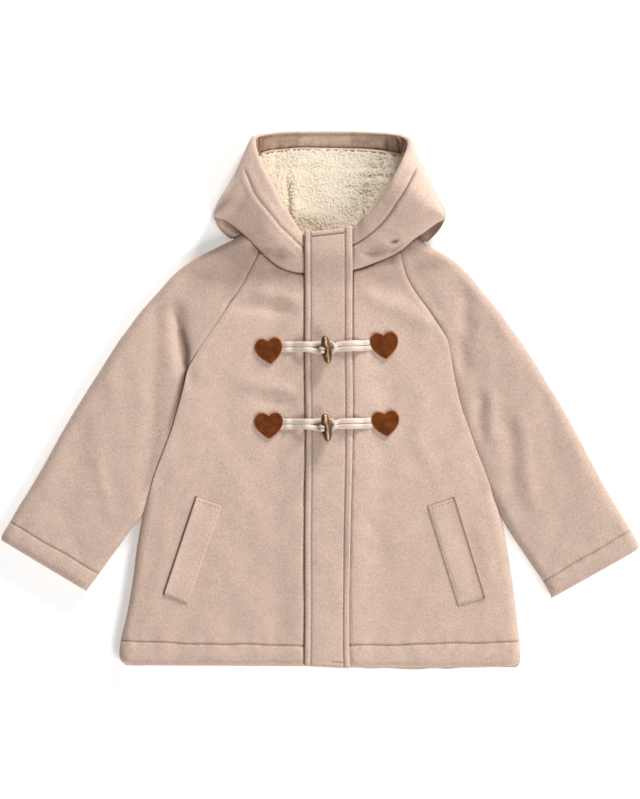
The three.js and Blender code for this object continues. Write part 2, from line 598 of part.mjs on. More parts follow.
// Closed solid from rings of points with a cap at each end
function addLoft(name, rings, material) {
  const sides = rings[0].length;
  const places = rings.flat().flatMap((p) => [p.x, p.y, p.z]);
  const triangles = [];
  for (let r = 0; r + 1 < rings.length; r += 1) {
    for (let s = 0; s < sides; s += 1) {
      const next = (s + 1) % sides;
      const [a, b, c, d] = [r * sides + s, r * sides + next, (r + 1) * sides + next, (r + 1) * sides + s];
      triangles.push(a, b, c, a, c, d);
    }
  }
  const centre = (ring) => ring.reduce((sum, p) => sum.add(p), new THREE.Vector3()).divideScalar(sides);
  const ends = [[rings[0], 0, false], [rings.at(-1), (rings.length - 1) * sides, true]];
  for (const [ring, first, outward] of ends) {
    const middle = centre(ring);
    const hub = places.length / 3;
    places.push(middle.x, middle.y, middle.z);
    for (let s = 0; s < sides; s += 1) {
      const next = (s + 1) % sides;
      if (outward) triangles.push(hub, first + s, first + next);
      else triangles.push(hub, first + next, first + s);
    }
  }
  const geometry = new THREE.BufferGeometry();
  geometry.setAttribute('position', new THREE.Float32BufferAttribute(places, 3));
  geometry.setIndex(triangles);
  geometry.computeVertexNormals();
  return addMesh(name, geometry, material);
}

// Half of a heart's outline from the notch to the point, in shares of half the width and height
const heartHalf = [
  { x: 0, y: 0.77 }, { x: 0.15, y: 0.88 }, { x: 0.34, y: 0.98 }, { x: 0.54, y: 1 }, { x: 0.74, y: 0.92 },
  { x: 0.91, y: 0.71 }, { x: 1, y: 0.42 }, { x: 0.97, y: 0.11 }, { x: 0.84, y: -0.21 },
  { x: 0.59, y: -0.52 }, { x: 0.29, y: -0.79 }, { x: 0, y: -1 },
];

// A heart-shaped leather patch that follows the cloth under it
function heartPatch(heart, panels) {
  const otherHalf = heartHalf.slice(1, -1).map((p) => ({ x: -p.x, y: p.y }));
  const outline = [...otherHalf, heartHalf.at(-1), ...heartHalf.slice(1, -1).reverse(), heartHalf[0]];
  const turn = THREE.MathUtils.degToRad(heart.tilt);
  const layers = [
    { scale: 1, lift: 0 }, { scale: 1, lift: leatherWall - 0.8 }, { scale: 0.94, lift: leatherWall - 0.1 },
    { scale: 0.5, lift: leatherWall + 0.2 },
  ];
  const rings = layers.map((layer) => outline.map((point) => {
    const px = point.x * (heart.width / 2) * layer.scale;
    const py = point.y * (heart.height / 2) * layer.scale;
    const x = heart.x + px * Math.cos(turn) - py * Math.sin(turn);
    const y = heart.up + px * Math.sin(turn) + py * Math.cos(turn);
    return new THREE.Vector3(x, y, clothTop(panels, x, y) + layerGap + layer.lift);
  }));
  return addLoft(heart.name, rings, leather);
}

// A flat braided cord through points that each give x, up, z of its middle and its width
function addCord(name, route) {
  const steps = 2 * route.length;
  const sides = 8;
  const curve = new THREE.CatmullRomCurve3(route.map((p) => new THREE.Vector3(p.x, p.up, p.z)));
  const flatSide = new THREE.Vector3(0, 1, 0); // carried along the cord without a twist
  const rings = Array.from({ length: steps + 1 }, (_, i) => {
    const t = i / steps;
    const middle = curve.getPoint(t);
    const ahead = curve.getTangent(t);
    flatSide.addScaledVector(ahead, -flatSide.dot(ahead)).normalize();
    const upSide = new THREE.Vector3().crossVectors(ahead, flatSide).normalize();
    const place = t * (route.length - 1);
    const k = Math.min(route.length - 2, Math.floor(place));
    const width = mix(route[k].width, route[k + 1].width, place - k);
    return Array.from({ length: sides }, (_, s) => {
      const angle = (2 * Math.PI * (s + 0.5)) / sides;
      return middle.clone()
        .addScaledVector(flatSide, (Math.cos(angle) * width) / 2)
        .addScaledVector(upSide, (Math.sin(angle) * cord.thick) / 2);
    });
  });
  return addLoft(name, rings, braid);
}

const onFront = frontTop + layerGap + 0.5 + cord.thick / 2; // middle of a cord that lies on the front
const onFlap = frontTop + layerGap * 2 + flapWall + 0.4 + cord.thick / 2;
const onRidge = onFlap + flap.ridge + 0.4;
const overCord = onFlap + cord.thick + 0.7; // middle of a cord that lies on another one on the flap
const toggleZ = onFlap + cord.thick / 2 + 0.6 + toggleSize.radius;

// Two strands side by side that turn back at the end of the route
function strandPair(outward, end) {
  const strand = (sign) => outward.map((p) => ({ x: p.x, up: p.up + sign * p.off, z: p.z, width: p.width }));
  return [...strand(1), end, ...strand(-1).reverse()];
}

// Loop from the wearer's right: from the patch over the flap, under the toggle and round over its cord
function loopCord(fastening, patchX) {
  const { width } = cord;
  const up = fastening.loopUp;
  const outward = [
    { x: patchX + 0.6, up, off: 3.15, z: onFront, width },
    { x: -30, up, off: 3.15, z: onFront, width },
    { x: -22.5, up, off: 3.2, z: onFlap - 1.4, width },
    { x: -14.5, up, off: 3.4, z: onRidge, width },
    { x: -7, up, off: 4.6, z: onFlap + 0.5, width },
    { x: 0, up, off: 7.2, z: onFlap, width },
    { x: 7.5, up, off: 7.5, z: onFlap, width: cord.narrow },
    { x: 11.4, up, off: 6.6, z: onFlap + 1.2, width: cord.narrow },
    { x: 14.4, up, off: 4.6, z: overCord - 0.2, width: cord.narrow },
  ];
  const end = { x: 16.2, up, z: overCord + 0.2, width: cord.narrow };
  return addCord(`loop_cord_${fastening.level}`, strandPair(outward, end));
}

// Height of a fastening's cord where it passes the toggle: between the middles of loop and toggle
function notchUp(fastening) {
  return mix(fastening.toggleUp, fastening.loopUp, 0.5);
}

// Cord from the wearer's left: from the patch, under the end of the loop and under the toggle,
// round the far side of it and down into its notch
function toggleCord(fastening, patchX) {
  const { width, pinched } = cord;
  const { cordUp, loopUp, toggleX } = fastening;
  const up = notchUp(fastening);
  const off = 1.3;
  const outward = [
    { x: patchX - 0.6, up: cordUp, off: 3.15, z: onFront, width },
    { x: 46, up: cordUp, off: 3.15, z: onFront + 0.6, width },
    { x: 38.5, up: cordUp, off: 3.15, z: onFlap + 0.9, width },
    { x: 31, up: mix(cordUp, loopUp, 0.4), off: 3.1, z: onRidge, width },
    { x: 22, up: mix(cordUp, loopUp, 0.8), off: 3, z: onFlap, width: 5.4 },
    { x: 17.5, up: mix(loopUp, up, 0.4), off: 2.5, z: onFlap, width: 4.4 },
    { x: 14, up: mix(loopUp, up, 0.7), off: 1.8, z: onFlap, width: 3.2 },
    { x: toggleX + 2, up, off, z: toggleZ - 8, width: pinched },
    { x: toggleX - 4.4, up, off, z: toggleZ - 7.2, width: pinched },
    { x: toggleX - 8.2, up, off: 1.6, z: toggleZ - 3.4, width: 3 },
    { x: toggleX - 7.4, up, off: 1.8, z: toggleZ + 1.4, width: 3.3 },
    { x: toggleX - 4.4, up, off: 1.8, z: toggleZ + 3.3, width: 3.3 },
    { x: toggleX - 2, up, off: 1.7, z: toggleZ + 1.6, width: 3 },
  ];
  const end = { x: toggleX - 1.7, up, z: toggleZ - 0.4, width: pinched };
  return addCord(`toggle_cord_${fastening.level}`, strandPair(outward, end));
}

function toManifold(geometry) {
  const merged = geometry.clone();
  merged.deleteAttribute('normal');
  merged.deleteAttribute('uv');
  const welded = BufferGeometryUtils.mergeVertices(merged, 1e-4);
  return new wasm.Manifold(new wasm.Mesh({
    numProp: 3,
    vertProperties: Float32Array.from(welded.attributes.position.array),
    triVerts: Uint32Array.from(welded.index.array),
  }));
}

function fromManifold(solid) {
  const cut = solid.getMesh();
  const geometry = new THREE.BufferGeometry();
  geometry.setAttribute('position', new THREE.Float32BufferAttribute(cut.vertProperties, 3));
  geometry.setIndex(Array.from(cut.triVerts));
  return geometry;
}

// Spindle toggle with a notch from its middle to one side, open at the top, for its cord
function toggle(fastening) {
  const { length, radius, notchLong, notchDepth, notchEnd } = toggleSize;
  const profile = [
    [0, -0.5], [0.24, -0.488], [0.46, -0.43], [0.68, -0.335], [0.87, -0.21], [0.97, -0.1], [1, 0],
    [0.97, 0.1], [0.87, 0.21], [0.68, 0.335], [0.46, 0.43], [0.24, 0.488], [0, 0.5],
  ].map(([r, along]) => new THREE.Vector2(r * radius, along * length));
  const spindle = toManifold(new THREE.LatheGeometry(profile, 16));
  const notchBox = new THREE.BoxGeometry(2 * radius, notchLong, 2 * radius);
  notchBox.translate(notchEnd - radius, notchUp(fastening) - fastening.toggleUp, radius - notchDepth);
  const notched = spindle.subtract(toManifold(notchBox));
  const mesh = addMesh(`toggle_${fastening.level}`, fromManifold(notched), horn);
  mesh.position.set(fastening.toggleX, fastening.toggleUp, toggleZ);
  mesh.rotation.z = THREE.MathUtils.degToRad(fastening.tilt);
  return mesh;
}

backPanel();
const fronts = [frontPanel('front_right', 'right'), frontPanel('front_left', 'left')];
for (const side of ['right', 'left']) {
  sleevePanel(`sleeve_${side}_front`, side, 'front');
  sleevePanel(`sleeve_${side}_back`, side, 'back');
}
const hoodBackMesh = hoodBack();
hoodLining();
hoodFacing(hoodBackMesh);
hoodPanels('right', hoodRightRows);
hoodPanels('left', hoodLeftRows);
frontFlap();
welts.forEach((welt) => pocketWelt(welt, fronts));
hearts.forEach((heart) => heartPatch(heart, fronts));
fastenings.forEach((fastening, level) => {
  const loopPatch = hearts[level];
  const cordPatch = hearts[level + 2];
  loopCord(fastening, loopPatch.x + loopPatch.width / 2);
  toggleCord(fastening, cordPatch.x - cordPatch.width / 2);
  toggle(fastening);
});

export default coat;
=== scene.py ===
"""A child's hooded duffle coat in felted wool, lying on its back, front up.

Tables and sizes are millimetres: x runs across the coat to the wearer's left, "up" is the height
above the hem, z is the height above the surface that it lies on. place() turns them into the frame.
"""

import math

import bmesh
import bpy
import numpy as np
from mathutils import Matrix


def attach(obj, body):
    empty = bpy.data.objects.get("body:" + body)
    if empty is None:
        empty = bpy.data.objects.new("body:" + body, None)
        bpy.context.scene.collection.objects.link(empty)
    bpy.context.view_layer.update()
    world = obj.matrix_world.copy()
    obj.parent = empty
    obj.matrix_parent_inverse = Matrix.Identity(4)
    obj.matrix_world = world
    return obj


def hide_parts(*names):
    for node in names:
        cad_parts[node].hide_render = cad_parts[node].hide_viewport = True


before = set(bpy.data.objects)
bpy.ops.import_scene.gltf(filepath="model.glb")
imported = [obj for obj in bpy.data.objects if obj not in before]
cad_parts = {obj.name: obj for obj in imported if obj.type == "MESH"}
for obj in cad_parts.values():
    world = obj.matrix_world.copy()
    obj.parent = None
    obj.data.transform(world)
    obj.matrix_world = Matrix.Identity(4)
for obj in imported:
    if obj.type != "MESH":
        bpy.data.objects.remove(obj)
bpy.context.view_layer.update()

rng = np.random.default_rng(7)

# Sizes shared with the solids
OVERALL_HEIGHT = 591.0
FRAME_SHIFT = (OVERALL_HEIGHT - 0.5) / 2
SEAM_GAP = 0.4
LAYER_GAP = 0.3
BACK_WALL = 8.0
FRONT_WALL = 8.7
WOOL_WALL = 3.2
LINING_WALL = 6.0
HOOD_WALL = 7.0
FLAP_WALL = 4.5
ROLL_REACH = 11.0
EDGE_WALL = 1.4
MIDDLE_X = 9.0
FRONT_BASE = BACK_WALL + LAYER_GAP
FRONT_TOP = FRONT_BASE + FRONT_WALL
FLAP = {"left": -18.0, "right": 36.0, "bottom": -0.5, "top_left": 480.0, "top_right": 486.0}
# How far the fronts reach up over the hood's edge at the neck
NECK_LAP = 0.75
# Length of the body's pieces when flat, and what rolled edges add to a piece's width
BODY_LENGTH = 460
ROLLED_EDGES = 6
# Which way each side of the coat lies from its middle, and its column in the body's table
SIDES = {"right": (-1, 1), "left": (1, 2)}

# Body outline from hem to neck: up, wearer's right edge, wearer's left edge, meeting with the middle
BODY = np.array([
    (0, -213.5, 216.5, 0), (6, -219.5, 220.5, 5), (16, -221, 221, 15), (34, -218.5, 219.5, 33),
    (60, -212.5, 216.5, 60), (95, -206.5, 212, 95), (130, -202, 206.5, 130), (167, -195.5, 199, 166),
    (190, -189, 190.5, 188), (214, -181.5, 182.5, 210), (238, -172.5, 173, 232), (262, -163.5, 164.5, 254),
    (286, -156.5, 156, 275), (308, -150.5, 150.5, 295), (328, -145.5, 146.5, 313), (346, -136, 143.5, 329),
    (362, -126, 140, 342), (378, -115, 131, 355), (394, -104, 120, 369), (410, -93, 107.5, 384),
    (426, -83, 97.5, 399), (442, -75, 92, 414), (457, -66, 88.5, 430),
], float)
SLEEVE_FORK = 7
UNDERARM = 14
NECK_SHAPE_START = 17
HEM_LIFT = {"right": 2.5, "left": 0.3, "fade": 60.0}
# Heights between which the sleeve comes to lie against the body
BESIDE_SLEEVE = (172, 205)

# Outer edge of each sleeve opposite the body rows from the fork to the neck
SHOULDERS = {
    "right": [
        (-300, 230), (-288, 252), (-276, 273), (-264, 293), (-252, 312), (-241, 329), (-231, 345),
        (-221.5, 360), (-211, 374), (-200, 389), (-188, 403), (-175, 417.5), (-163, 431), (-146, 445),
        (-121, 459), (-85, 476),
    ],
    "left": [
        (298, 229), (287, 250), (275.5, 271), (264, 291.5), (252.5, 310), (242, 327.5), (231.5, 344),
        (221, 360), (211, 373.5), (200, 389), (188, 403.5), (176, 418), (163.5, 433), (147, 448.5),
        (127, 460.5), (107, 472),
    ],
}
# Free end of each sleeve, cuff first: outer edge, then the inner edge that faces the body
CUFFS = {
    "right": [
        (-351, 140.5, -257.5, 84.5), (-349.5, 147, -253, 90.5), (-341, 161, -243, 104),
        (-332, 177, -231, 121), (-321.5, 193.5, -219, 137), (-311, 211, -207.5, 153),
    ],
    "left": [
        (348.5, 129, 255, 76.5), (350.5, 136, 253, 82), (342, 152, 245, 96),
        (331, 170, 234, 112), (319, 190, 222, 130), (308.5, 209, 210.5, 147),
    ],
}
NECK_SEAM = np.array([
    (-66, 457), (-54, 446), (-42, 438.5), (-25, 433), (0, 430), (9, 430), (25, 433), (38, 436),
    (51, 439.5), (64, 445.5), (77, 452), (88.5, 457),
], float)

# Hood sides from the middle front round to the top: opening edge x, up, z; band seam x, up; outer x, up
HOOD_SIDES = {
    "right": [
        (8.5, 466, 22, 8.5, 449, 8.5, 431.2), (-18, 478, 26, -20, 464, -25, 434.2),
        (-30, 494, 33, -36, 477, -41.4, 439.5), (-38, 506, 39, -47, 486.5, -53.2, 447),
        (-44, 514.5, 43, -55, 497, -65, 458), (-50, 527, 47, -63, 509, -84, 477.2),
        (-55, 537, 49, -69.5, 519, -102, 491.5), (-59, 545, 49, -74.5, 529, -117, 498),
        (-62, 551, 47, -78.5, 537, -112, 513), (-65, 558, 43, -82.5, 546, -100, 532),
        (-68, 566, 37, -86, 555, -92, 548), (-70, 574, 30, -84, 566, -84, 566),
        (-70.8, 580.5, 23, -76.4, 582.6, -76.4, 582.6), (-68.5, 583.4, 20, -72, 585.8, -72, 585.8),
        (-61.5, 585.4, 16.5, -62, 588, -62, 588), (-52, 586.6, 14.5, -52, 589.3, -52, 589.3),
        (-42, 587.4, 13, -42, 590.2, -42, 590.2), (-22, 588, 12, -22, 590.8, -22, 590.8),
        (11, 588.2, 11.8, 11, 590.8, 11, 590.8),
    ],
    "left": [
        (9.5, 466, 22, 9.5, 449, 9.5, 431.2), (36, 484, 26, 38.5, 465, 38, 437.2),
        (48, 497, 33, 54, 476, 63, 446.5), (57, 505, 38, 66, 487, 87, 457.8),
        (64, 514, 42, 76, 499, 105.6, 472.8), (70, 522, 45, 83, 509, 116, 480),
        (76, 531, 47, 90, 519, 128, 489), (80, 539, 47, 95.5, 528, 138.5, 496),
        (85, 548, 45, 101, 538, 133, 512), (89, 556, 42, 106, 548, 122, 535),
        (92, 563, 37, 109, 558, 113, 553), (95.2, 571, 30, 106.5, 569, 106.5, 569),
        (95.6, 578, 23, 101.6, 581, 101.6, 581), (92, 582.4, 20, 96.6, 585.2, 96.6, 585.2),
        (86, 584.6, 16.5, 88, 587.4, 88, 587.4), (77, 586, 14.5, 77.6, 588.8, 77.6, 588.8),
        (66, 587, 13, 66, 589.8, 66, 589.8), (42, 588, 12, 42, 590.6, 42, 590.6),
        (11, 588.2, 11.8, 11, 590.8, 11, 590.8),
    ],
}
HOOD_SEWN_ROWS = 5
HOOD_SIDE_ROWS = 11
HOOD_SEAM_TOP = 15.5
HOOD_FOLD_TOP = 12.4
HOOD_FOLD_BASE = 8.9
# Back of the hood, neck to top: up, right edge, left edge, how far each end dips to a corner that shows
HOOD_BACK = np.array([
    (457.8, -65.2, 88, 0, 0), (466, -74, 99, 0, 0), (472.6, -80.8, 107.2, 0, 0),
    (477, -84.6, 117.3, 0, 9.4), (479.5, -97.5, 124.5, 7.8, 5), (483, -104, 129.5, 7, 3.2),
    (488, -112.3, 134, 3, 2.5), (498, -117, 139, 0, 0), (513, -112.5, 133, 0, 0),
    (532, -100.5, 124, 0, 0), (550, -91, 115, 0, 0), (566, -84, 107.5, 0, 0), (579, -78.5, 102, 0, 0),
    (587, -70, 93, 0, 0), (OVERALL_HEIGHT, -52, 74, 0, 0),
], float)
DIP_REACH = 14.0
FACING_DROP = 3.2
# Lining of the hood's back: up, right edge, left edge; it ends under the facing
LINING = np.array([
    (462.5, -57, 82), (472.6, -63.8, 90.2), (480, -74, 100), (488, -88, 112), (498, -103, 125),
    (513, -99.5, 120), (532, -87.5, 111), (550, -78, 102), (564.6, -70, 93), (572.5, -67, 90),
], float)
FACING = np.array([
    (-66.5, 567, 585.5), (-56, 570, 589), (-40, 571.8, 590.2), (-22, 573.2, OVERALL_HEIGHT),
    (0, 572.8, OVERALL_HEIGHT), (20, 572.5, OVERALL_HEIGHT), (42, 572, OVERALL_HEIGHT),
    (60, 570.5, 590.6), (76, 568.3, 589.6), (90.5, 565.5, 586),
], float)
WELTS = {
    "pocket_welt_right": [(-173, 81), (-146, 70), (-107, 179), (-137, 189)],
    "pocket_welt_left": [(152, 68), (182, 77), (148, 188), (118, 178)],
}
HEARTS = {
    "heart_patch_right_upper": (-55.8, 348.6, 30.5, 29, 7),
    "heart_patch_right_lower": (-56.2, 266.4, 31.8, 29.3, 1),
    "heart_patch_left_upper": (71, 354.5, 31.3, 30, 6),
    "heart_patch_left_lower": (72.4, 268.6, 31, 28.4, 7),
}
FASTENINGS = {
    "upper": {"loop_up": 353.3, "cord_up": 354.4, "toggle_x": 6.9, "toggle_up": 350.2, "tilt": 8},
    "lower": {"loop_up": 268.4, "cord_up": 268.9, "toggle_x": 6.8, "toggle_up": 264.6, "tilt": 8},
}
CORD = {"width": 5.8, "narrow": 4.6, "pinched": 2.4, "thick": 3.0}
TOGGLE = {"length": 31.0, "radius": 5.9, "notch_long": 8.8, "notch_depth": 2.3, "notch_end": 0.3}

# Folds of the solids: middle line from one end to the other, half width, height (below zero: trough)
FOLDS = [
    (-93, 401, -30, 392, 8, -2.4), (-88, 417, -32, 408, 9, 1.8), (46, 413, 112, 384, 11, 2.4),
    (-74, 312, -32, 304, 9, 2), (-60, 294, -32, 292, 8, -1.8), (-158, 390, -147, 322, 8, -4.2),
    (-180, 388, -188, 207, 11, -2.4), (159, 404, 158, 335, 9, -3), (175, 295, 176, 262, 8, -2),
    (189, 293, 190, 258, 8, 2), (209, 260, 211, 200, 9, -2.4), (224, 262, 232, 190, 9, 2),
    (-150, 434, -80, 417, 9, -1.8), (108, 436, 143, 446, 9, -1.8),
    (-66, 464, -46, 456, 7, -3), (81, 470, 88, 467, 6, -4), (58, 459, 76, 452, 7, -3),
]
# Finer creases of the same kind, only in the cloth's surface
CREASES = [
    (-120, 330, -96, 250, 14, -0.9), (-100, 236, -60, 150, 18, 0.8), (70, 320, 96, 240, 16, -0.8),
    (110, 250, 132, 190, 13, 0.9), (60, 150, 84, 60, 15, -0.7), (-62, 128, -44, 50, 14, -0.6),
    (-170, 150, -186, 70, 9, 0.9), (176, 150, 190, 92, 9, 0.9),
    (-232, 330, -222, 262, 11, 1.1), (-262, 262, -270, 190, 12, -1.2), (-300, 200, -312, 160, 11, 1.0),
    (246, 300, 262, 222, 10, -1.0), (286, 230, 300, 160, 12, 1.1), (200, 384, 214, 330, 10, 1.0),
    (-210, 346, -196, 300, 10, 1.0), (-244, 224, -232, 172, 8, 1.2), (-284, 170, -262, 122, 8, -0.8),
    (262, 160, 250, 110, 9, -0.9), (-46, 470, -58, 446, 6, 1.2), (40, 452, 60, 440, 6, 1.2),
    (-96, 498, -84, 520, 8, -1.2), (112, 500, 100, 528, 9, 1.0), (90, 484, 110, 492, 7, -1.0),
    (-118, 420, -140, 380, 12, 0.9), (128, 414, 146, 380, 11, 0.9),
    (167, 374, 143, 350, 6, -1.8), (178, 292, 164, 262, 6, -1.4), (158, 366, 162, 352, 6, 0.9),
]
# Folds with one sharp side: line, reach of the soft side, drop beside the line
SHARP_FOLDS = [
    (-155.5, 385, -149.3, 367.4, 8, -2.5), (-149.3, 367.4, -145.3, 350, 8, -5.5),
    (-145.3, 350, -144.7, 331, 8, -6.0), (-70, 468, -48, 464.5, 11, -5.2), (-46, 464, -30, 455, 9, -2.2),
    (50, 459, 80, 461.5, 8, -5.4), (80, 462, 94, 470.5, 6, -4.6),
]
# Painted shade in the hollows under the folds of the hood's sides: middle x, up, half length, half height,
# slope, strength
HOLLOWS = [
    (-48, 455, 13, 6, -0.35, 0.28), (65, 458, 14, 5, 0.1, 0.38), (84.5, 461.5, 7, 2.0, 0.6, 0.3),
    (82.5, 469.3, 4.4, 1.7, 0.25, 0.75),
]


def mix(a, b, t):
    return a + (b - a) * t


def smoothstep(x, low, high):
    t = np.clip((np.asarray(x, float) - low) / (high - low), 0, 1)
    return t * t * (3 - 2 * t)


def spline(table, at):
    """Smooth values of a table's columns at fractional rows."""
    table = np.asarray(table, float)
    last = len(table) - 1
    at = np.clip(np.asarray(at, float), 0, last)
    i = np.minimum(at.astype(int), last - 1)
    t = (at - i)[..., None]
    before, here, there, after = (table[np.clip(i + k, 0, last)] for k in (-1, 0, 1, 2))
    linear = there - before
    square = 2 * before - 5 * here + 4 * there - after
    cube = 3 * here - before - 3 * there + after
    return 0.5 * (2 * here + linear * t + square * t**2 + cube * t**3)


def rows_at(heights, targets):
    """Fractional rows of a table where a rising column takes the target values."""
    dense = np.linspace(0, len(heights) - 1, 40 * len(heights))
    values = spline(np.asarray(heights, float)[:, None], dense)[:, 0]
    return np.interp(targets, np.maximum.accumulate(values), dense)


def steps(stretches):
    """Places from 0 on, spaced as each (end, spacing) says."""
    places = [0.0]
    for end, spacing in stretches:
        count = max(1, round((end - places[-1]) / spacing))
        places.extend(np.linspace(places[-1], end, count + 1)[1:])
    return np.array(places)


def place(x, up, z):
    """Table millimetres to frame metres."""
    return np.stack([x, np.asarray(up) - FRAME_SHIFT, z], axis=-1) * 0.001


def waves(x, y, length, seed):
    """Smooth unevenness between about -1 and 1, the same in each run."""
    turn = np.random.default_rng(seed)
    total = np.zeros(np.broadcast(x, y).shape)
    for _ in range(9):
        angle = turn.uniform(0, math.tau)
        k = math.tau / (length * turn.uniform(0.7, 1.7))
        total += np.sin(k * (x * math.cos(angle) + y * math.sin(angle)) + turn.uniform(0, math.tau))
    return total / 4.2


def line_places(x, y, x1, y1, x2, y2):
    """Distance across a line, to its left, and how far a place lies past its ends."""
    length = math.hypot(x2 - x1, y2 - y1)
    along = ((x - x1) * (x2 - x1) + (y - y1) * (y2 - y1)) / length
    across = ((x - x1) * (y2 - y1) - (y - y1) * (x2 - x1)) / length
    return across, np.maximum(0, np.maximum(-along, along - length))


def bell(distance, width):
    """One at no distance, falling off softly over the width."""
    return np.exp(-((distance / width) ** 2))


def rounded(distance, reach):
    """Drop of a rounded edge: one at the edge, nothing from its reach on."""
    return 1 - np.sqrt(1 - (1 - np.clip(distance / reach, 0, 1)) ** 2)


def soft_line(x, y, ends, width, reach):
    """A bell across a line between two places, that fades past its ends."""
    across, past = line_places(x, y, *ends)
    return bell(across, width) * bell(past, reach)


def run_along(line):
    """Length along a line of places, at each of them."""
    return np.concatenate([[0], np.cumsum(np.linalg.norm(np.diff(line, axis=0), axis=1))])


def between(line, run, at):
    """A line's places where its run takes the given values."""
    return np.stack([np.interp(at, run, column) for column in line.T], axis=-1)


# How far the flap's edge over the wearer's left side is pulled in: up, distance
FLAP_PULL = np.array([(0, 2.4), (20, 4.0), (60, 4.7), (110, 3.6), (185, 2.3), (300, 0), (490, 0)], float)


def flap_sway(y):
    return 0.66 * np.sin((y - 40) / 95.0) + 0.3 * np.sin(y / 31.0)


def flap_sides(y):
    """The flap's two long edges."""
    left = FLAP["left"] + flap_sway(y) + 1.4 * mix(0.5, 1, smoothstep(y, 180, 260))
    return left, FLAP["right"] + flap_sway(y) - np.interp(y, FLAP_PULL[:, 0], FLAP_PULL[:, 1])


# Heights at which the cords cross the flap
CORD_UPS = (353.5, 268.6)


def relief(x, y):
    """How the cloth rises and falls: flat under the front flap, swollen beside it, less so at the cords."""
    height = 0.45 * waves(x, y, 58, 3) + 0.2 * waves(x, y, 21, 4)
    for *ends, width, rise in FOLDS + CREASES:
        height += rise * soft_line(x, y, ends, width, 1.5 * width)
    for *ends, reach, drop in SHARP_FOLDS:
        across, past = line_places(x, y, *ends)
        step = smoothstep(across, -0.6, 2.4) * np.exp(-np.maximum(0, across) / reach)
        height += drop * step * bell(past, 7)
    from_flap = np.maximum(FLAP["left"] - x, x - FLAP["right"])
    left, right = flap_sides(y)
    outside = np.maximum(left - x, x - right) - 0.3
    at_cords = sum(bell(y - up, 9) for up in CORD_UPS)
    swell = (2.4 - 1.6 * at_cords) * smoothstep(outside, 0, 1.4) * (1 - smoothstep(outside, 5, 34))
    return height * smoothstep(from_flap, 0, 22) + swell


def roll_drop(distance, depth):
    return depth * rounded(distance, ROLL_REACH)


def roll_share(row):
    return 1 - smoothstep(row, UNDERARM - 1, UNDERARM + 2)


def groove(distance, width, depth):
    return -depth * bell(distance, width)


def mark(distance, width, strength=1.0):
    """Darkness along a line: a sewn line, or painted shade along an opening, an edge or a fold."""
    return strength * bell(distance, width)


def edge_columns(widths, spacing, start_rolls, end_rolls):
    """Distances from the first edge for each row: close together where a side rolls over."""
    fine = steps([(2, 0.5), (6, 1), (ROLL_REACH, 1.7)])
    head = fine if start_rolls else np.array([0.0, 0.8])
    tail = fine if end_rolls else np.array([0.0, 0.8])
    inner = max(2, round((widths.max() - head[-1] - tail[-1]) / spacing))
    rows = []
    for width in widths:
        squeeze = min(1.0, 0.8 * width / (head[-1] + tail[-1]))
        first = head * squeeze
        last = width - (tail * squeeze)[::-1]
        rows.append(np.concatenate([first, np.linspace(first[-1], last[0], inner + 1)[1:-1], last]))
    return np.array(rows)


# Lines of topstitching, as (x, up, z) places along each
SEWN_LINES = []


def sew_across(x, up, top, measure, keep=lambda at: True):
    """Topstitch a grid where a measure that rises with its rows passes zero."""
    spots = [
        between(np.stack(column[:3], axis=1), column[3], 0) for column in zip(x.T, up.T, top.T, measure.T)
    ]
    SEWN_LINES.append([spot for spot in spots if keep(spot[0])])


def sew_along(x, up, top, measure, ends):
    """The same where the measure rises with the grid's columns, leaving rows out at each end."""
    sew_across(*(grid[ends[0]:-ends[1]].T for grid in (x, up, top, measure)))


# Objects from points and faces
def add_object(name, points, faces, materials, face_slots=None, smooth=True):
    mesh = bpy.data.meshes.new(name)
    mesh.from_pydata(np.asarray(points).reshape(-1, 3).tolist(), [], [list(map(int, f)) for f in faces])
    for material in materials:
        mesh.materials.append(material)
    mesh.polygons.foreach_set("use_smooth", [smooth] * len(mesh.polygons))
    if face_slots is not None:
        mesh.polygons.foreach_set("material_index", np.asarray(face_slots, np.int32))
    mesh.update()
    obj = bpy.data.objects.new(name, mesh)
    bpy.context.scene.collection.objects.link(obj)
    return obj


def set_attribute(obj, name, values):
    layer = obj.data.attributes.new(name, "FLOAT", "POINT")
    layer.data.foreach_set("value", np.asarray(values, np.float32))


def grid_faces(rows, columns, offset=0, flip=False):
    at = offset + np.arange(rows * columns).reshape(rows, columns)
    corners = [at[:-1, :-1], at[:-1, 1:], at[1:, 1:], at[1:, :-1]]
    if flip:
        corners = corners[::-1]
    return np.stack([c.ravel() for c in corners], axis=1)


def loft_faces(rings, sides, start_cap=True, end_cap=True):
    """Faces between rings of points, and over the first and the last ring."""
    at = np.arange(rings * sides).reshape(rings, sides)
    after = np.roll(at, -1, axis=1)
    faces = np.stack([at[:-1], after[:-1], after[1:], at[1:]], axis=-1).reshape(-1, 4).tolist()
    if start_cap:
        faces.append(at[0, ::-1].tolist())
    if end_cap:
        faces.append(at[-1].tolist())
    return faces


def joined(parts):
    """Points and faces of many parts, each given as its own points and faces, as one."""
    points, faces = [], []
    for spots, sides in parts:
        faces.extend([tuple(len(points) + i for i in side) for side in sides])
        points.extend(spots)
    return np.array(points), faces


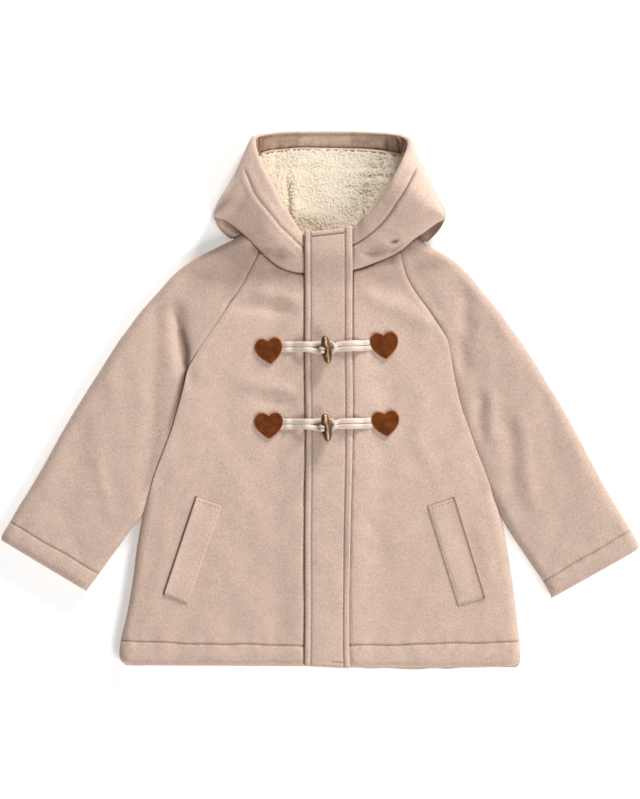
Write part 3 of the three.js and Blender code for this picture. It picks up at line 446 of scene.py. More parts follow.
def add_cloth(name, x, up, top, bottom, material, under=None, seam=None):
    """Closed shell from grids of places: its upper side, underside and rim, darker on its upper side where
    the seam values say, for seam lines and for painted shade.
    """
    rows, columns = x.shape
    points = np.concatenate([place(x, up, top).reshape(-1, 3), place(x, up, bottom).reshape(-1, 3)])
    size = rows * columns
    cross = (x[0, -1] - x[0, 0]) * (up[-1, 0] - up[0, 0]) - (up[0, -1] - up[0, 0]) * (x[-1, 0] - x[0, 0])
    mirrored = cross < 0
    upper = grid_faces(rows, columns, 0, mirrored)
    lower = grid_faces(rows, columns, size, not mirrored)
    at = np.arange(size).reshape(rows, columns)
    loop = np.concatenate([at[0, :], at[1:, -1], at[-1, -2::-1], at[-2:0:-1, 0]])
    nexts = np.roll(loop, -1)
    rim = np.stack([nexts, loop, loop + size, nexts + size], axis=1)
    if mirrored:
        rim = rim[:, ::-1]
    slots = [0] * len(upper) + [1 if under else 0] * len(lower) + [0] * len(rim)
    materials = [material, under] if under else [material]
    obj = add_object(name, points, np.concatenate([upper, lower, rim]), materials, slots)
    if seam is not None:
        dark = np.clip(np.broadcast_to(seam, x.shape), 0, 1).ravel()
        set_attribute(obj, "seam", np.concatenate([dark, np.zeros(size)]))
    spread = place(x, up, top)
    cells = np.cross(spread[1:, 1:] - spread[:-1, :-1], spread[1:, :-1] - spread[:-1, 1:])
    obj["cloth_area"] = float(np.linalg.norm(cells, axis=-1).sum() / 2)
    return obj


def finish_piece(obj, node=None):
    """Fix a piece to the coat's body, and show it in place of its solid where it has one."""
    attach(obj, "root")
    if node:
        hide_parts(node)


def finish_cloth(obj, width, length, rests_on, slot="wool"):
    """Finish a cut piece of cloth: fix it to the coat's body and show it in place of its solid. The rectangle
    round it when flat is given but not used.
    """
    finish_piece(obj, obj.name.removesuffix("_cloth"))


def add_form(name, points, faces, material, slot, node=None, **attributes):
    """A piece of points in table millimetres, with its point attributes."""
    obj = add_object(name, place(*np.asarray(points).T), faces, [material])
    for attribute_name, values in attributes.items():
        set_attribute(obj, attribute_name, values)
    finish_piece(obj, node)
    return obj


# Materials
def new_material(name, roughness, specular=0.5, sheen=0.0, sheen_roughness=0.5, sheen_tint=(1, 1, 1)):
    material = bpy.data.materials.new(name)
    material.use_nodes = True
    shader = material.node_tree.nodes["Principled BSDF"]
    shader.inputs["Roughness"].default_value = roughness
    shader.inputs["Specular IOR Level"].default_value = specular
    shader.inputs["Sheen Weight"].default_value = sheen
    shader.inputs["Sheen Roughness"].default_value = sheen_roughness
    shader.inputs["Sheen Tint"].default_value = (*sheen_tint, 1)
    return material, material.node_tree, shader


def noise(tree, scale, detail=2.0, stretch=(1, 1, 1), turn=0.0, roughness=0.5):
    coordinates = tree.nodes.new("ShaderNodeTexCoord")
    mapping = tree.nodes.new("ShaderNodeMapping")
    mapping.inputs["Scale"].default_value = stretch
    mapping.inputs["Rotation"].default_value = (0, 0, math.radians(turn))
    texture = tree.nodes.new("ShaderNodeTexNoise")
    texture.inputs["Scale"].default_value = scale
    texture.inputs["Detail"].default_value = detail
    texture.inputs["Roughness"].default_value = roughness
    tree.links.new(coordinates.outputs["Object"], mapping.inputs["Vector"])
    tree.links.new(mapping.outputs["Vector"], texture.inputs["Vector"])
    return texture.outputs["Fac"]


def attribute(tree, name):
    node = tree.nodes.new("ShaderNodeAttribute")
    node.attribute_name = name
    return node.outputs["Fac"]


def weighted(tree, *parts):
    """Sum of values, each times its weight."""
    total = None
    for value, weight in parts:
        node = tree.nodes.new("ShaderNodeMath")
        node.operation = "MULTIPLY_ADD"
        tree.links.new(value, node.inputs[0])
        node.inputs[1].default_value = weight
        node.inputs[2].default_value = 0
        if total is not None:
            tree.links.new(total, node.inputs[2])
        total = node.outputs["Value"]
    return total


def ramp(tree, value, *stops):
    """Colours at rising values."""
    node = tree.nodes.new("ShaderNodeValToRGB")
    elements = node.color_ramp.elements
    while len(elements) < len(stops):
        elements.new(0.5)
    for element, (at, colour) in zip(elements, stops):
        element.position = at
        element.color = (*colour, 1)
    tree.links.new(value, node.inputs["Fac"])
    return node.outputs["Color"]


def tinted(tree, colour, name, tint):
    """A colour turned to a tint where a point attribute says."""
    node = tree.nodes.new("ShaderNodeMix")
    node.data_type = "RGBA"
    tree.links.new(attribute(tree, name), node.inputs["Factor"])
    tree.links.new(colour, node.inputs["A"])
    node.inputs["B"].default_value = (*tint, 1)
    return node.outputs["Result"]


def surface(tree, shader, colour, height, strength, distance):
    """Give a material its colour and its fine relief."""
    tree.links.new(colour, shader.inputs["Base Color"])
    node = tree.nodes.new("ShaderNodeBump")
    node.inputs["Strength"].default_value = strength
    node.inputs["Distance"].default_value = distance
    tree.links.new(height, node.inputs["Height"])
    tree.links.new(node.outputs["Normal"], shader.inputs["Normal"])


def wool_material(name, tone=1.0, contrast=1.0, colour=(0.60, 0.445, 0.365)):
    """Felted melange wool: pale and brown fibres in soft flecks, with a short nap."""
    material, tree, shader = new_material(name, 0.92, 0.25, 0.22, 0.55, (1.0, 0.93, 0.88))
    fibres = weighted(
        tree, (noise(tree, 900, 3, (1, 0.28, 1), 28), 0.5), (noise(tree, 900, 3, (0.28, 1, 1), -17), 0.5)
    )
    flecks = noise(tree, 420, 3, (1, 1, 1), 0, 0.65)
    cover = weighted(tree, (fibres, 0.40), (flecks, 0.46), (noise(tree, 70, 2), 0.14))
    stops = [
        (at, tuple(part * tone * (1 + change * contrast) for part in colour))
        for at, change in [(0.34, -0.22), (0.47, -0.05), (0.54, 0.05), (0.66, 0.20)]
    ]
    # Dark brown where the seam attribute says: seam and stitch lines, and painted shade in folds, hollows,
    # gaps and under the hood
    colours = tinted(tree, ramp(tree, cover, *stops), "seam", (0.12, 0.055, 0.035))
    colours = tinted(tree, colours, "binding", (0.72, 0.50, 0.42))
    surface(tree, shader, colours, weighted(tree, (fibres, 0.6), (flecks, 0.4)), 0.55, 0.0009)
    return material


def pile_material():
    """Curly cream pile, with painted shade towards the roots and on the curls' undersides."""
    material, tree, shader = new_material("pile_cream", 1.0, 0.05, 0.2, 0.5, (1.0, 0.97, 0.92))
    curls = noise(tree, 700, 3, (1, 0.5, 1), 10)
    cover = weighted(tree, (attribute(tree, "tip"), 0.5), (curls, 0.28), (noise(tree, 60, 2), 0.22))
    colours = ramp(
        tree, cover, (0.18, (0.76, 0.63, 0.48)), (0.42, (0.84, 0.72, 0.57)), (0.75, (0.88, 0.78, 0.64))
    )
    surface(tree, shader, colours, curls, 0.35, 0.0005)
    return material


def leather_material():
    """Brown suede, lighter and more orange on its cut edge."""
    material, tree, shader = new_material("leather_suede", 0.82, 0.12, 0.06, 0.4, (1.0, 0.6, 0.35))
    grain = noise(tree, 1600, 3)
    clouds = noise(tree, 120, 3)
    body = ramp(
        tree, weighted(tree, (grain, 0.35), (clouds, 0.65)),
        (0.36, (0.088, 0.020, 0.003)), (0.52, (0.134, 0.033, 0.005)), (0.66, (0.190, 0.054, 0.009)),
    )
    colours = tinted(tree, body, "edge", (0.36, 0.125, 0.045))
    surface(tree, shader, colours, weighted(tree, (grain, 0.6), (clouds, 0.4)), 0.4, 0.0005)
    return material


def braid_material():
    """Pinkish white cotton braid, with painted shade in the valleys of its weave."""
    material, tree, shader = new_material("braid_cotton", 0.85, 0.3, 0.2, 0.5, (1.0, 0.95, 0.93))
    threads = noise(tree, 1500, 2)
    cover = weighted(tree, (threads, 0.3), (noise(tree, 90, 2), 0.25), (attribute(tree, "valley"), 0.45))
    colours = ramp(
        tree, cover, (0.2, (0.53, 0.41, 0.35)), (0.45, (0.70, 0.575, 0.50)), (0.75, (0.80, 0.67, 0.59))
    )
    surface(tree, shader, colours, threads, 0.5, 0.0004)
    return material


def horn_material():
    """Brown horn with golden streaks along its length, polished, with a painted golden highlight along its
    top.
    """
    material, tree, shader = new_material("horn_brown", 0.32)
    shader.inputs["Coat Weight"].default_value = 0.35
    shader.inputs["Coat Roughness"].default_value = 0.2
    streaks = noise(tree, 420, 4, (1, 0.16, 1), -8, 0.6)
    clouds = noise(tree, 140, 2, (1, 0.5, 1), -8)
    colours = ramp(
        tree, weighted(tree, (streaks, 0.6), (clouds, 0.32), (attribute(tree, "painted_highlight"), 0.2)),
        (0.38, (0.030, 0.010, 0.004)), (0.48, (0.10, 0.040, 0.012)),
        (0.58, (0.24, 0.12, 0.035)), (0.70, (0.60, 0.42, 0.19)),
    )
    surface(tree, shader, colours, streaks, 0.12, 0.0004)
    return material


wool = wool_material("wool_melange")
# Copies of the wool for the sleeves, darker than the body's: partly their own tone, partly painted shade,
# more on the wearer's left sleeve
wool_sleeve_with_painted_shade = {
    "right": wool_material("wool_melange_sleeve_right", 0.935),
    "left": wool_material("wool_melange_sleeve_left", 0.88),
}
wool_flap = wool_material("wool_melange_flap", 0.96)
wool_facing = wool_material("wool_facing", 1.0, 1.2, (0.60, 0.44, 0.335))
pile = pile_material()
leather = leather_material()
braid = braid_material()
horn = horn_material()
thread = wool_material("thread_matching", 0.93, 0.5)


# Body
def neck_up(x):
    dense = spline(NECK_SEAM, np.linspace(0, len(NECK_SEAM) - 1, 400))
    return np.interp(x, dense[:, 0], dense[:, 1])


def hem_line(x):
    """Height of the hem's stitch line."""
    return 25 + 4.6 * (x / 220) ** 2 + 0.5 * np.sin(x / 17.0) + 0.3 * np.sin(x / 7.3)


def turned_edge(from_end, from_line, line, pucker, depth):
    """A stitched, turned edge: a puffed fold, rounded at its end, puckered and grooved at its stitch line."""
    puff = 0.9 * np.sin(np.pi * np.clip(from_end / line, 0, 1))
    return puff - 4.4 * rounded(from_end, 8) + pucker * bell(from_line, 6) + groove(from_line, 1.1, depth)


def raglan_seam(distance, y, share, swell):
    """Relief and darkness of the seam between body and sleeve, above the underarm."""
    depth = mix(0.4, 0.9, smoothstep(y, 350, 400))
    height = (distance < 20) * (groove(distance, 1.0, depth) + swell * bell(distance - 5, 3.5))
    return share * height, share * mark(distance, 0.7, 0.22) * smoothstep(y, 340, 410)


# Soft shade of the hood on the shoulders: line, half width, strength
SHOULDER_SHADE = [
    (-137.6, 426, -47, 437, 12, 0.15), (39, 430, 94, 429, 11, 0.2), (94, 429, 126, 444, 11, 0.2),
]


def shoulder_shade(x, y):
    return np.maximum.reduce([
        strength * soft_line(x, y, ends, width, width) for *ends, width, strength in SHOULDER_SHADE
    ])


# Heights of the fronts' rows of points
BODY_UPS = steps([(3, 0.5), (8, 1), (22, 2), (32, 0.7), (457, 2.4)])
# Darker tone of the fronts towards the hem
LOW_SHADE = 0.07


def front_panel(side):
    sign, column = SIDES[side]
    rows = rows_at(BODY[:, 0], BODY_UPS)
    table = spline(BODY, rows)
    up, middle_up = table[:, :1], table[:, 3:]
    edge = table[:, [column]] - sign * 2.4 * rounded(up, 7)
    middle = MIDDLE_X + sign * LAYER_GAP
    widths = np.abs(middle - edge)
    d = edge_columns(widths[:, 0], 2.3, True, False)
    t = d / widths
    x = mix(edge, middle, t)
    last = BODY[-1]
    shape = neck_up(mix(last[column], middle, t)) + NECK_LAP - mix(last[0], last[3], t)
    near_neck = np.maximum(0, (rows - NECK_SHAPE_START) / (len(BODY) - 1 - NECK_SHAPE_START))[:, None]
    flat_y = mix(up, middle_up, t) + shape * near_neck**2
    lift = HEM_LIFT[side]
    ripple = 0.45 * waves(x, 0 * x, 24, 41) * np.maximum(0, 1 - flat_y / 9)
    hang = 1.7 * smoothstep(x, 165, 215) - 1.5 * bell(x - 105, 55)
    ripple += hang * np.maximum(0, 1 - flat_y / 40)
    y = flat_y + lift * np.maximum(0, 1 - flat_y / HEM_LIFT["fade"]) + ripple
    share = roll_share(rows)[:, None]
    seam, seam_dark = raglan_seam(d, y, 1 - share, 0.5)
    from_line = y - hem_line(x)
    pucker = 0.35 * np.sin(x / 3.1 + 1.3 * np.sin(x / 11))
    from_neck = np.maximum(0, neck_up(x) + NECK_LAP - y)
    top = FRONT_TOP + relief(x, y) * np.minimum(1, d / ROLL_REACH) + seam
    top -= roll_drop(d, mix(FRONT_WALL - EDGE_WALL, 1.4, smoothstep(y, *BESIDE_SLEEVE))) * share
    top += turned_edge(y - lift, from_line, hem_line(x), pucker, 1.5) + groove(from_neck, 1.6, 1.1)
    top = np.maximum(FRONT_BASE + EDGE_WALL, top)
    sew_across(x, y, top, from_line, lambda at: not FLAP["left"] + 1 < at < FLAP["right"] - 1)
    dark = LOW_SHADE * (1 - smoothstep(y, 110, 300)) + shoulder_shade(x, y) + seam_dark
    dark += mark(from_line, 1.1, 0.34) + mark(from_neck, 1.0, 0.2)
    obj = add_cloth(f"front_{side}_cloth", x, y, top, np.full_like(top, FRONT_BASE), wool, seam=dark)
    finish_cloth(obj, widths.max() + ROLLED_EDGES, BODY_LENGTH, ["back"])


def back_panel():
    rows = rows_at(BODY[:, 0], BODY_UPS[::2])
    up, right, left = (column[:, None] for column in spline(BODY, rows)[:, :3].T)
    widths = left - right
    d = edge_columns(widths[:, 0], 5, True, True)
    t = d / widths
    lift = mix(HEM_LIFT["right"], HEM_LIFT["left"], t)
    y = up - 4 * (1 - (2 * t - 1) ** 2) * smoothstep(up, 425, 457)
    y = y + lift * np.maximum(0, 1 - y / HEM_LIFT["fade"])
    rise = roll_drop(np.minimum(d, widths - d), BACK_WALL - EDGE_WALL) * roll_share(rows)[:, None]
    bottom = np.minimum(rise + 2.6 * rounded(y - lift, 8), BACK_WALL - EDGE_WALL)
    obj = add_cloth("back_cloth", right + d, y, np.full_like(bottom, BACK_WALL), bottom, wool)
    finish_cloth(obj, widths.max() + ROLLED_EDGES, BODY_LENGTH, ["front_right_cloth", "front_left_cloth"])


# Sleeves
# Edge of the body's fold over the sleeve on the wearer's right: x, up
FOLD_EDGE = np.array([
    (-163.5, 265.7), (-154.4, 294.8), (-149.6, 314.6), (-144.9, 328), (-145.3, 350), (-149.3, 367.4),
    (-155.5, 385),
])
# How far each sleeve sinks beside the body, and how dark its shade is there
TUCK_DEPTH = {"right": 1.8, "left": 0.8}
TUCK_SHADE = {"right": 0.42, "left": 0.08}


def sleeve_grid(side, spacing, columns_spacing):
    """Rows of a sleeve from cuff to neck: outer edge, inner edge, and the body row that each is on."""
    sign, column = SIDES[side]
    cuffs = CUFFS[side]
    joined_rows = [
        (*outer, body[column] + sign * 0.15, body[0])
        for outer, body in zip(SHOULDERS[side], BODY[SLEEVE_FORK:])
    ]
    table = np.array(cuffs + joined_rows, float)
    dense = spline(table, np.linspace(0, len(table) - 1, 1200))
    run = run_along((dense[:, :2] + dense[:, 2:]) / 2)
    places = steps([(3, 0.5), (8, 1), (19, 2), (27, 0.7), (run[-1], spacing)])
    rows = np.interp(places, run, np.linspace(0, len(table) - 1, 1200))
    lines = spline(table, rows)
    outer, inner = lines[:, None, :2], lines[:, None, 2:]
    widths = np.linalg.norm(inner - outer, axis=2)
    d = edge_columns(widths[:, 0], columns_spacing, True, True)
    lap = smoothstep(rows, len(table) - 2.2, len(table) - 1)[:, None, None]
    spots = mix(outer, inner, (d / widths)[..., None]) + lap * np.array([-sign * 0.68, 0.72])
    share = np.where(rows < len(cuffs), 1.0, roll_share(rows - len(cuffs) + SLEEVE_FORK))
    return spots[..., 0], spots[..., 1], d, widths - d, share[:, None], places[:, None]


def sleeve(side):
    x, y, d, to_inner, share, along = sleeve_grid(side, 2.4, 2.3)
    cut = (d[:, -1].max() + ROLLED_EDGES, along[-1, 0])
    calm = np.minimum(1, np.minimum(d, to_inner + 11 * (1 - share)) / ROLL_REACH)
    beside_body = smoothstep(y, *BESIDE_SLEEVE) * share
    tucked = np.exp(-to_inner / 5.5) * (1 - smoothstep(y, 322, 338)) * smoothstep(y, 175, 215)
    seam, seam_dark = raglan_seam(to_inner, y, 1 - share, 0.4)
    line = 22.8 + 0.4 * np.sin(d / 9.0)
    top = FRONT_TOP + relief(x, y) * calm + seam - roll_drop(d, FRONT_WALL - EDGE_WALL)
    top -= roll_drop(to_inner, FRONT_WALL - EDGE_WALL) * share * (1 - beside_body)
    top -= roll_drop(to_inner, 1.4) * beside_body + TUCK_DEPTH[side] * tucked
    top += turned_edge(along, along - line, line, 0.3 * np.sin(d / 2.9), 1.2)
    top = np.maximum(FRONT_BASE + EDGE_WALL, top)
    sew_across(x, y, top, along - line)
    # Painted shadow on the wearer's right sleeve beside the edge of the body's fold at the armhole, painted
    # shade where the sleeve tucks beside the body, and the hood's painted shade on the shoulder
    armhole = smoothstep(y, 225, 318) * (1 - smoothstep(y, 352, 390)) * (side == "right")
    from_fold = np.interp(y, FOLD_EDGE[:, 1], FOLD_EDGE[:, 0]) - x
    dark = armhole * mark(from_fold - 1.8, 3.6, mix(0.72, 0.52, smoothstep(y, 322, 338)))
    dark += mark(along - line, 1.1, 0.26) + seam_dark + shoulder_shade(x, y) + TUCK_SHADE[side] * tucked
    front = add_cloth(
        f"sleeve_{side}_front_cloth", x, y, top, np.full_like(top, FRONT_BASE), wool_sleeve_with_painted_shade[side], seam=dark
    )
    finish_cloth(front, *cut, [f"sleeve_{side}_back_cloth"])

    x, y, d, to_inner, share, along = sleeve_grid(side, 6, 6)
    rise = roll_drop(d, BACK_WALL - EDGE_WALL) + roll_drop(to_inner, BACK_WALL - EDGE_WALL) * share
    bottom = np.minimum(rise + 2.6 * rounded(along, 8), BACK_WALL - EDGE_WALL)
    back = add_cloth(
        f"sleeve_{side}_back_cloth", x, y, np.full_like(bottom, BACK_WALL), bottom, wool_sleeve_with_painted_shade[side]
    )
    finish_cloth(back, d[:, -1].max() + ROLLED_EDGES, cut[1], [f"sleeve_{side}_front_cloth"])


# Hood
def hollow_shade(x, y):
    shade_sum = np.zeros_like(x)
    for middle_x, middle_up, long, high, slope, strength in HOLLOWS:
        across = y - middle_up - slope * (x - middle_x)
        shade_sum += strength * bell(x - middle_x, long) * bell(across, high)
    return shade_sum


# Where the wearer's left side of the hood is pulled in: x, up
HOOD_DIMPLE = (82.5, 469.4)


def hood_surface(table, rows, shares):
    """Grid of a hood side: shares run from the opening edge (0) to the outer edge (1)."""
    opening, z, outer = table[:, None, :2], table[:, 2:3], table[:, None, 5:7]
    spots = mix(opening, outer, shares[..., None])
    sewn = 1 - smoothstep(rows, HOOD_SEWN_ROWS - 1, HOOD_SEWN_ROWS)[:, None]
    top_edge = mix(HOOD_FOLD_TOP, HOOD_SEAM_TOP, sewn)
    base_edge = mix(HOOD_FOLD_BASE, FRONT_BASE, sewn)
    inside = np.minimum(1, shares / 0.94)
    top = mix(top_edge, z, np.sqrt(np.maximum(0, 1 - shares**3)))
    bottom = mix(base_edge, z - HOOD_WALL, np.sqrt(np.maximum(0, 1 - inside**3)))
    x, y = spots[..., 0], spots[..., 1]
    dimple = 3.4 * bell(x - HOOD_DIMPLE[0], 3.2) * bell(y - HOOD_DIMPLE[1], 1.7)
    fold = (relief(x, y) - dimple) * (1 - shares**12)
    return x, y, top + fold, np.maximum(base_edge, bottom + fold), base_edge, sewn


def hood_rows(side, rows):
    """A side's table at its rows, the share of its width that the band takes, and that width."""
    table = spline(HOOD_SIDES[side], rows)
    whole = np.hypot(*(table[:, 5:7] - table[:, :2]).T)[:, None]
    band = np.hypot(*(table[:, 3:5] - table[:, :2]).T)[:, None]
    return table, np.minimum(1, band / whole), whole


def hood_seam(distance, depth):
    return groove(distance, 1.5, depth) + 0.5 * bell(distance - 5, 3)


# Seam between each hood side and its band: depth, darkness
BAND_SEAM = {"right": (1.0, 0.22), "left": (1.8, 0.45)}
# Where the points of a band lie across it
BAND_STEPS = np.array([0, 0.03, 0.07, 0.12, 0.2, 0.3, 0.4, 0.5, 0.6, 0.7, 0.8, 0.88, 0.94, 0.975, 1])


def hood_side(side):
    seam_depth, seam_dark = BAND_SEAM[side]
    rows = np.linspace(0, len(HOOD_SIDES[side]) - 1, 190)
    table, share, whole = hood_rows(side, rows)
    gap = SEAM_GAP / whole * (1 - smoothstep(rows, HOOD_SIDE_ROWS - 3, HOOD_SIDE_ROWS - 1.8)[:, None])
    shares = (share - gap) * BAND_STEPS
    x, y, top, bottom, _, _ = hood_surface(table, rows, shares)
    lip = rounded(shares * whole, 4.5)
    rim = smoothstep(rows, 11, 13.5)[:, None]
    bottom = bottom + 2.6 * lip * (1 - rim)
    bottom = mix(bottom, np.minimum(bottom, HOOD_FOLD_BASE - 0.5), rim * smoothstep(shares, 0.3, 0.6))
    to_seam = (share - shares) * whole
    sewn_band = 1 - smoothstep(rows, HOOD_SIDE_ROWS - 2.3, HOOD_SIDE_ROWS - 1.3)[:, None]
    top += sewn_band * hood_seam(to_seam, seam_depth)
    top -= 3.6 * lip * (1 - 0.6 * rim) + rim * 2.4 * rounded((1 - shares) * whole, 2.2)
    dark = sewn_band * mark(to_seam, 1.2, seam_dark)
    band = add_cloth(f"hood_band_{side}_cloth", x, y, top, np.minimum(bottom, top - 0.8), wool, pile, dark)
    length = run_along(np.stack([x[:, 0], y[:, 0]], axis=1))[-1]
    finish_cloth(band, 24, length, [f"hood_side_{side}_cloth"])

    rows = np.linspace(0, HOOD_SIDE_ROWS - 0.05, 140)
    table, share, whole = hood_rows(side, rows)
    shares = mix(share, 1, 1 - (1 - np.linspace(0, 1, 46)) ** 1.35)
    x, y, top, bottom, base, sewn = hood_surface(table, rows, shares)
    from_seam = (shares - share) * whole
    to_edge = (1 - shares) * whole
    open_seam = 1 - smoothstep(rows, HOOD_SIDE_ROWS - 2.3, HOOD_SIDE_ROWS - 1.3)[:, None]
    top += open_seam * hood_seam(from_seam, seam_depth) + sewn * groove(to_edge, 1.6, 1.1)
    top = np.maximum(top, base + 1.2)
    dark = open_seam * mark(from_seam, 1.0, seam_dark) + sewn * mark(to_edge, 1.0, 0.22) + hollow_shade(x, y)
    obj = add_cloth(f"hood_side_{side}_cloth", x, y, top, np.minimum(bottom, top - 0.8), wool, pile, dark)
    finish_cloth(obj, whole.max() + 8, length, ["hood_back_cloth"])


# The hood's lower edge at the neck: height at its ends, and how far its middle sinks below them
HOOD_NECK_UP = 457.8
NECK_BOW = 3.6
# Outer edges of the hood's sides, that shade the corners of its back
WING_SHADE = [
    (-84, 477.2, -102, 491.5), (-102, 491.5, -117, 498), (105.6, 472.8, 116, 480), (116, 480, 138.5, 496),
]


def hood_allowance():
    """The hood's seam allowance, that lies between the front and the back along the neck."""
    right = [(-95.5, 472.8), (-91, 474.4), (-84.6, 477), (-80.8, 472.6), (-74, 466), (-65.2, HOOD_NECK_UP)]
    left = [(88, HOOD_NECK_UP), (99, 466), (107.2, 472.6), (112.2, 470), (115.2, 468.7)]
    bow = [
        (x, HOOD_NECK_UP - NECK_BOW * (1 - ((x - 11.4) / 76.6) ** 2)) for x in np.linspace(-55, 78, 12)
    ]
    path = np.array(right + bow + left, float)
    run = run_along(path)
    middle = between(path, run, np.linspace(0, run[-1], 160))
    way = np.gradient(middle, axis=0)
    way /= np.linalg.norm(way, axis=1)[:, None]
    across = np.stack([-way[:, 1], way[:, 0]], axis=1)
    spots = middle + across * np.array([-3.0, 0.0, 1.6])[:, None, None]
    top = np.full(spots.shape[:2], BACK_WALL + LAYER_GAP - 0.04)
    obj = add_cloth("hood_back_allowance_cloth", spots[..., 0], spots[..., 1], top, top - 0.2, wool)
    # Darkened all over as painted shade, since it shows only in the narrow gaps along the neck
    set_attribute(obj, "seam", [0.45] * len(obj.data.vertices))
    finish_piece(obj)


def hood_back():
    targets = np.concatenate([np.arange(HOOD_NECK_UP, 588, 2.2), steps([(2.5, 0.5)]) + 588.5])
    every_row = np.arange(len(HOOD_BACK))
    rows = np.interp(targets, HOOD_BACK[:, 0], every_row)
    table = between(HOOD_BACK, every_row, rows)
    table[:, 1:3] = mix(table[:, 1:3], spline(HOOD_BACK, rows)[:, 1:3], smoothstep(rows, 6, 7)[:, None])
    up, right, left, right_dip, left_dip = (column[:, None] for column in table.T)
    widths = left - right
    d = edge_columns(widths[:, 0], 3, True, True)
    t = d / widths
    side_rise = roll_drop(np.minimum(t, 1 - t) * widths, 5.0) * smoothstep(rows, 3, 4)[:, None]
    rise = np.maximum(side_rise, roll_drop(OVERALL_HEIGHT - up, 5.0))
    bow = NECK_BOW * (1 - (2 * t - 1) ** 2) * (1 - smoothstep(up, HOOD_NECK_UP, 462))
    crown = 1.5 * (2 * t - 1) ** 2 * smoothstep(up, 587, 591)
    dip = right_dip * np.maximum(0, 1 - d / DIP_REACH) ** 1.5
    dip = dip + left_dip * np.maximum(0, 1 - (widths - d) / DIP_REACH) ** 1.5
    x = right + d
    y = up - bow - crown - dip
    seam = groove(OVERALL_HEIGHT - up - 2.4, 0.8, 0.9)
    top = WOOL_WALL + rise + seam + 0.4 * waves(x, y, 26, 11) * (1 - t) * t * 4
    # Painted shade on the lower part of the hood's back, deepest under the outer edges of its sides
    near = np.minimum.reduce([np.hypot(*line_places(x, y, *ends)) for ends in WING_SHADE])
    dark = (0.16 + 0.34 * np.exp(-((near / 4.5) ** 1.5))) * (1 - smoothstep(y, 498, 504))
    obj = add_cloth("hood_back_cloth", x, y, top, rise, wool, seam=dark)
    finish_cloth(obj, widths.max() + ROLLED_EDGES, OVERALL_HEIGHT - 450, ["hood_lining_cloth"])


# Lining of the hood
def lining_outline(up):
    return np.interp(up, LINING[:, 0], LINING[:, 1]), np.interp(up, LINING[:, 0], LINING[:, 2])


def in_opening(x, up, margin):
    """Whether a place lies within the hood's opening, or near it."""
    right, left = (np.array(HOOD_SIDES[side], float)[:, :2] for side in SIDES)
    low = np.interp(x, [-70, right[0, 0], left[0, 0], 97], [500, 466, 466, 500])
    side_right, side_left = (np.interp(up, edge[:, 1], edge[:, 0]) for edge in (right, left))
    return side_right - margin < x < side_left + margin and up > low - margin - 8


# Folds of the lining: middle line from one end to the other, half width, height
LINING_FOLDS = [
    (-35, 533, -34, 500, 3.2, -2.6), (-27, 536, -26, 502, 6, 1.2), (47, 527, 47, 492, 3.2, -1.5),
    (36, 541, 82, 541, 3.2, -1.0), (-20, 545, 34, 545, 14, 1.2), (-55, 551, 96, 551, 3.0, -0.6),
    (-48, 560, -49, 546, 3, -1.0), (66, 560, 67, 546, 3, -0.8), (-10, 500, 30, 478, 9, 0.7),
]


def facing_low(x):
    """Lower edge of the facing over the lining."""
    return np.interp(x, FACING[:, 0], FACING[:, 1]) - FACING_DROP


def lining_relief(x, y):
    height = 0.6 * waves(x, y, 34, 21) + 0.2 * waves(x, y, 13, 22)
    for *ends, width, rise in LINING_FOLDS:
        height += rise * soft_line(x, y, ends, width, 1.2 * width + 3)
    return height


CURL_SIDES = 6
CURL_RINGS = 5
UPWARD = np.array([0, 0, 1.0])


def curl(root, lean, length, thick, twist):
    """Points of a short curved lock with a round tip, and a value for its colour that rises towards the tip
    and on its upper side, for painted shade at the root and underneath.
    """
    points = []
    tips = []
    side_way = np.array([-lean[1], lean[0], 0.0])
    for s in np.linspace(0, 1, CURL_RINGS):
        centre = root + lean * length * (0.15 + 0.85 * s) * (0.4 + 0.6 * s)
        centre = centre + side_way * twist * length * s * s
        centre = centre + UPWARD * length * 0.26 * math.sin(s * math.pi * 0.75)
        radius = thick * (0.75 + 0.4 * math.sin(math.pi * s)) * (1 - 0.45 * s**3)
        for side in range(CURL_SIDES):
            angle = math.tau * side / CURL_SIDES
            points.append(centre + (side_way * math.cos(angle) + UPWARD * math.sin(angle) * 0.48) * radius)
            tips.append(min(1.0, 0.15 + 0.85 * s + 0.15 * math.sin(angle)))
    return points, tips


def pile_curls(places, height_at, length, thick, lean_to):
    """The pile's curls on their places, with normals turned upward for an even, soft shade."""
    faces = loft_faces(CURL_RINGS, CURL_SIDES, start_cap=False)
    locks, tips = [], []
    for x, y in places:
        angle = lean_to + rng.normal(0, 0.9)
        lean = np.array([math.cos(angle), math.sin(angle), 0.0])
        size = rng.uniform(0.7, 1.25)
        root = np.array([x, y, float(height_at(x, y)) - 0.45])
        spots, shades = curl(root, lean, length * size, thick * size, rng.uniform(-0.5, 0.5))
        locks.append((spots, faces))
        tips.extend(shades)
    curls = add_form("hood_lining_curls", *joined(locks), pile, "pile", tip=tips)
    own = np.array([vertex.normal[:] for vertex in curls.data.vertices])
    soft = mix(own, UPWARD, 0.84)
    soft /= np.linalg.norm(soft, axis=1)[:, None]
    curls.data.normals_split_custom_set_from_vertices(soft.tolist())


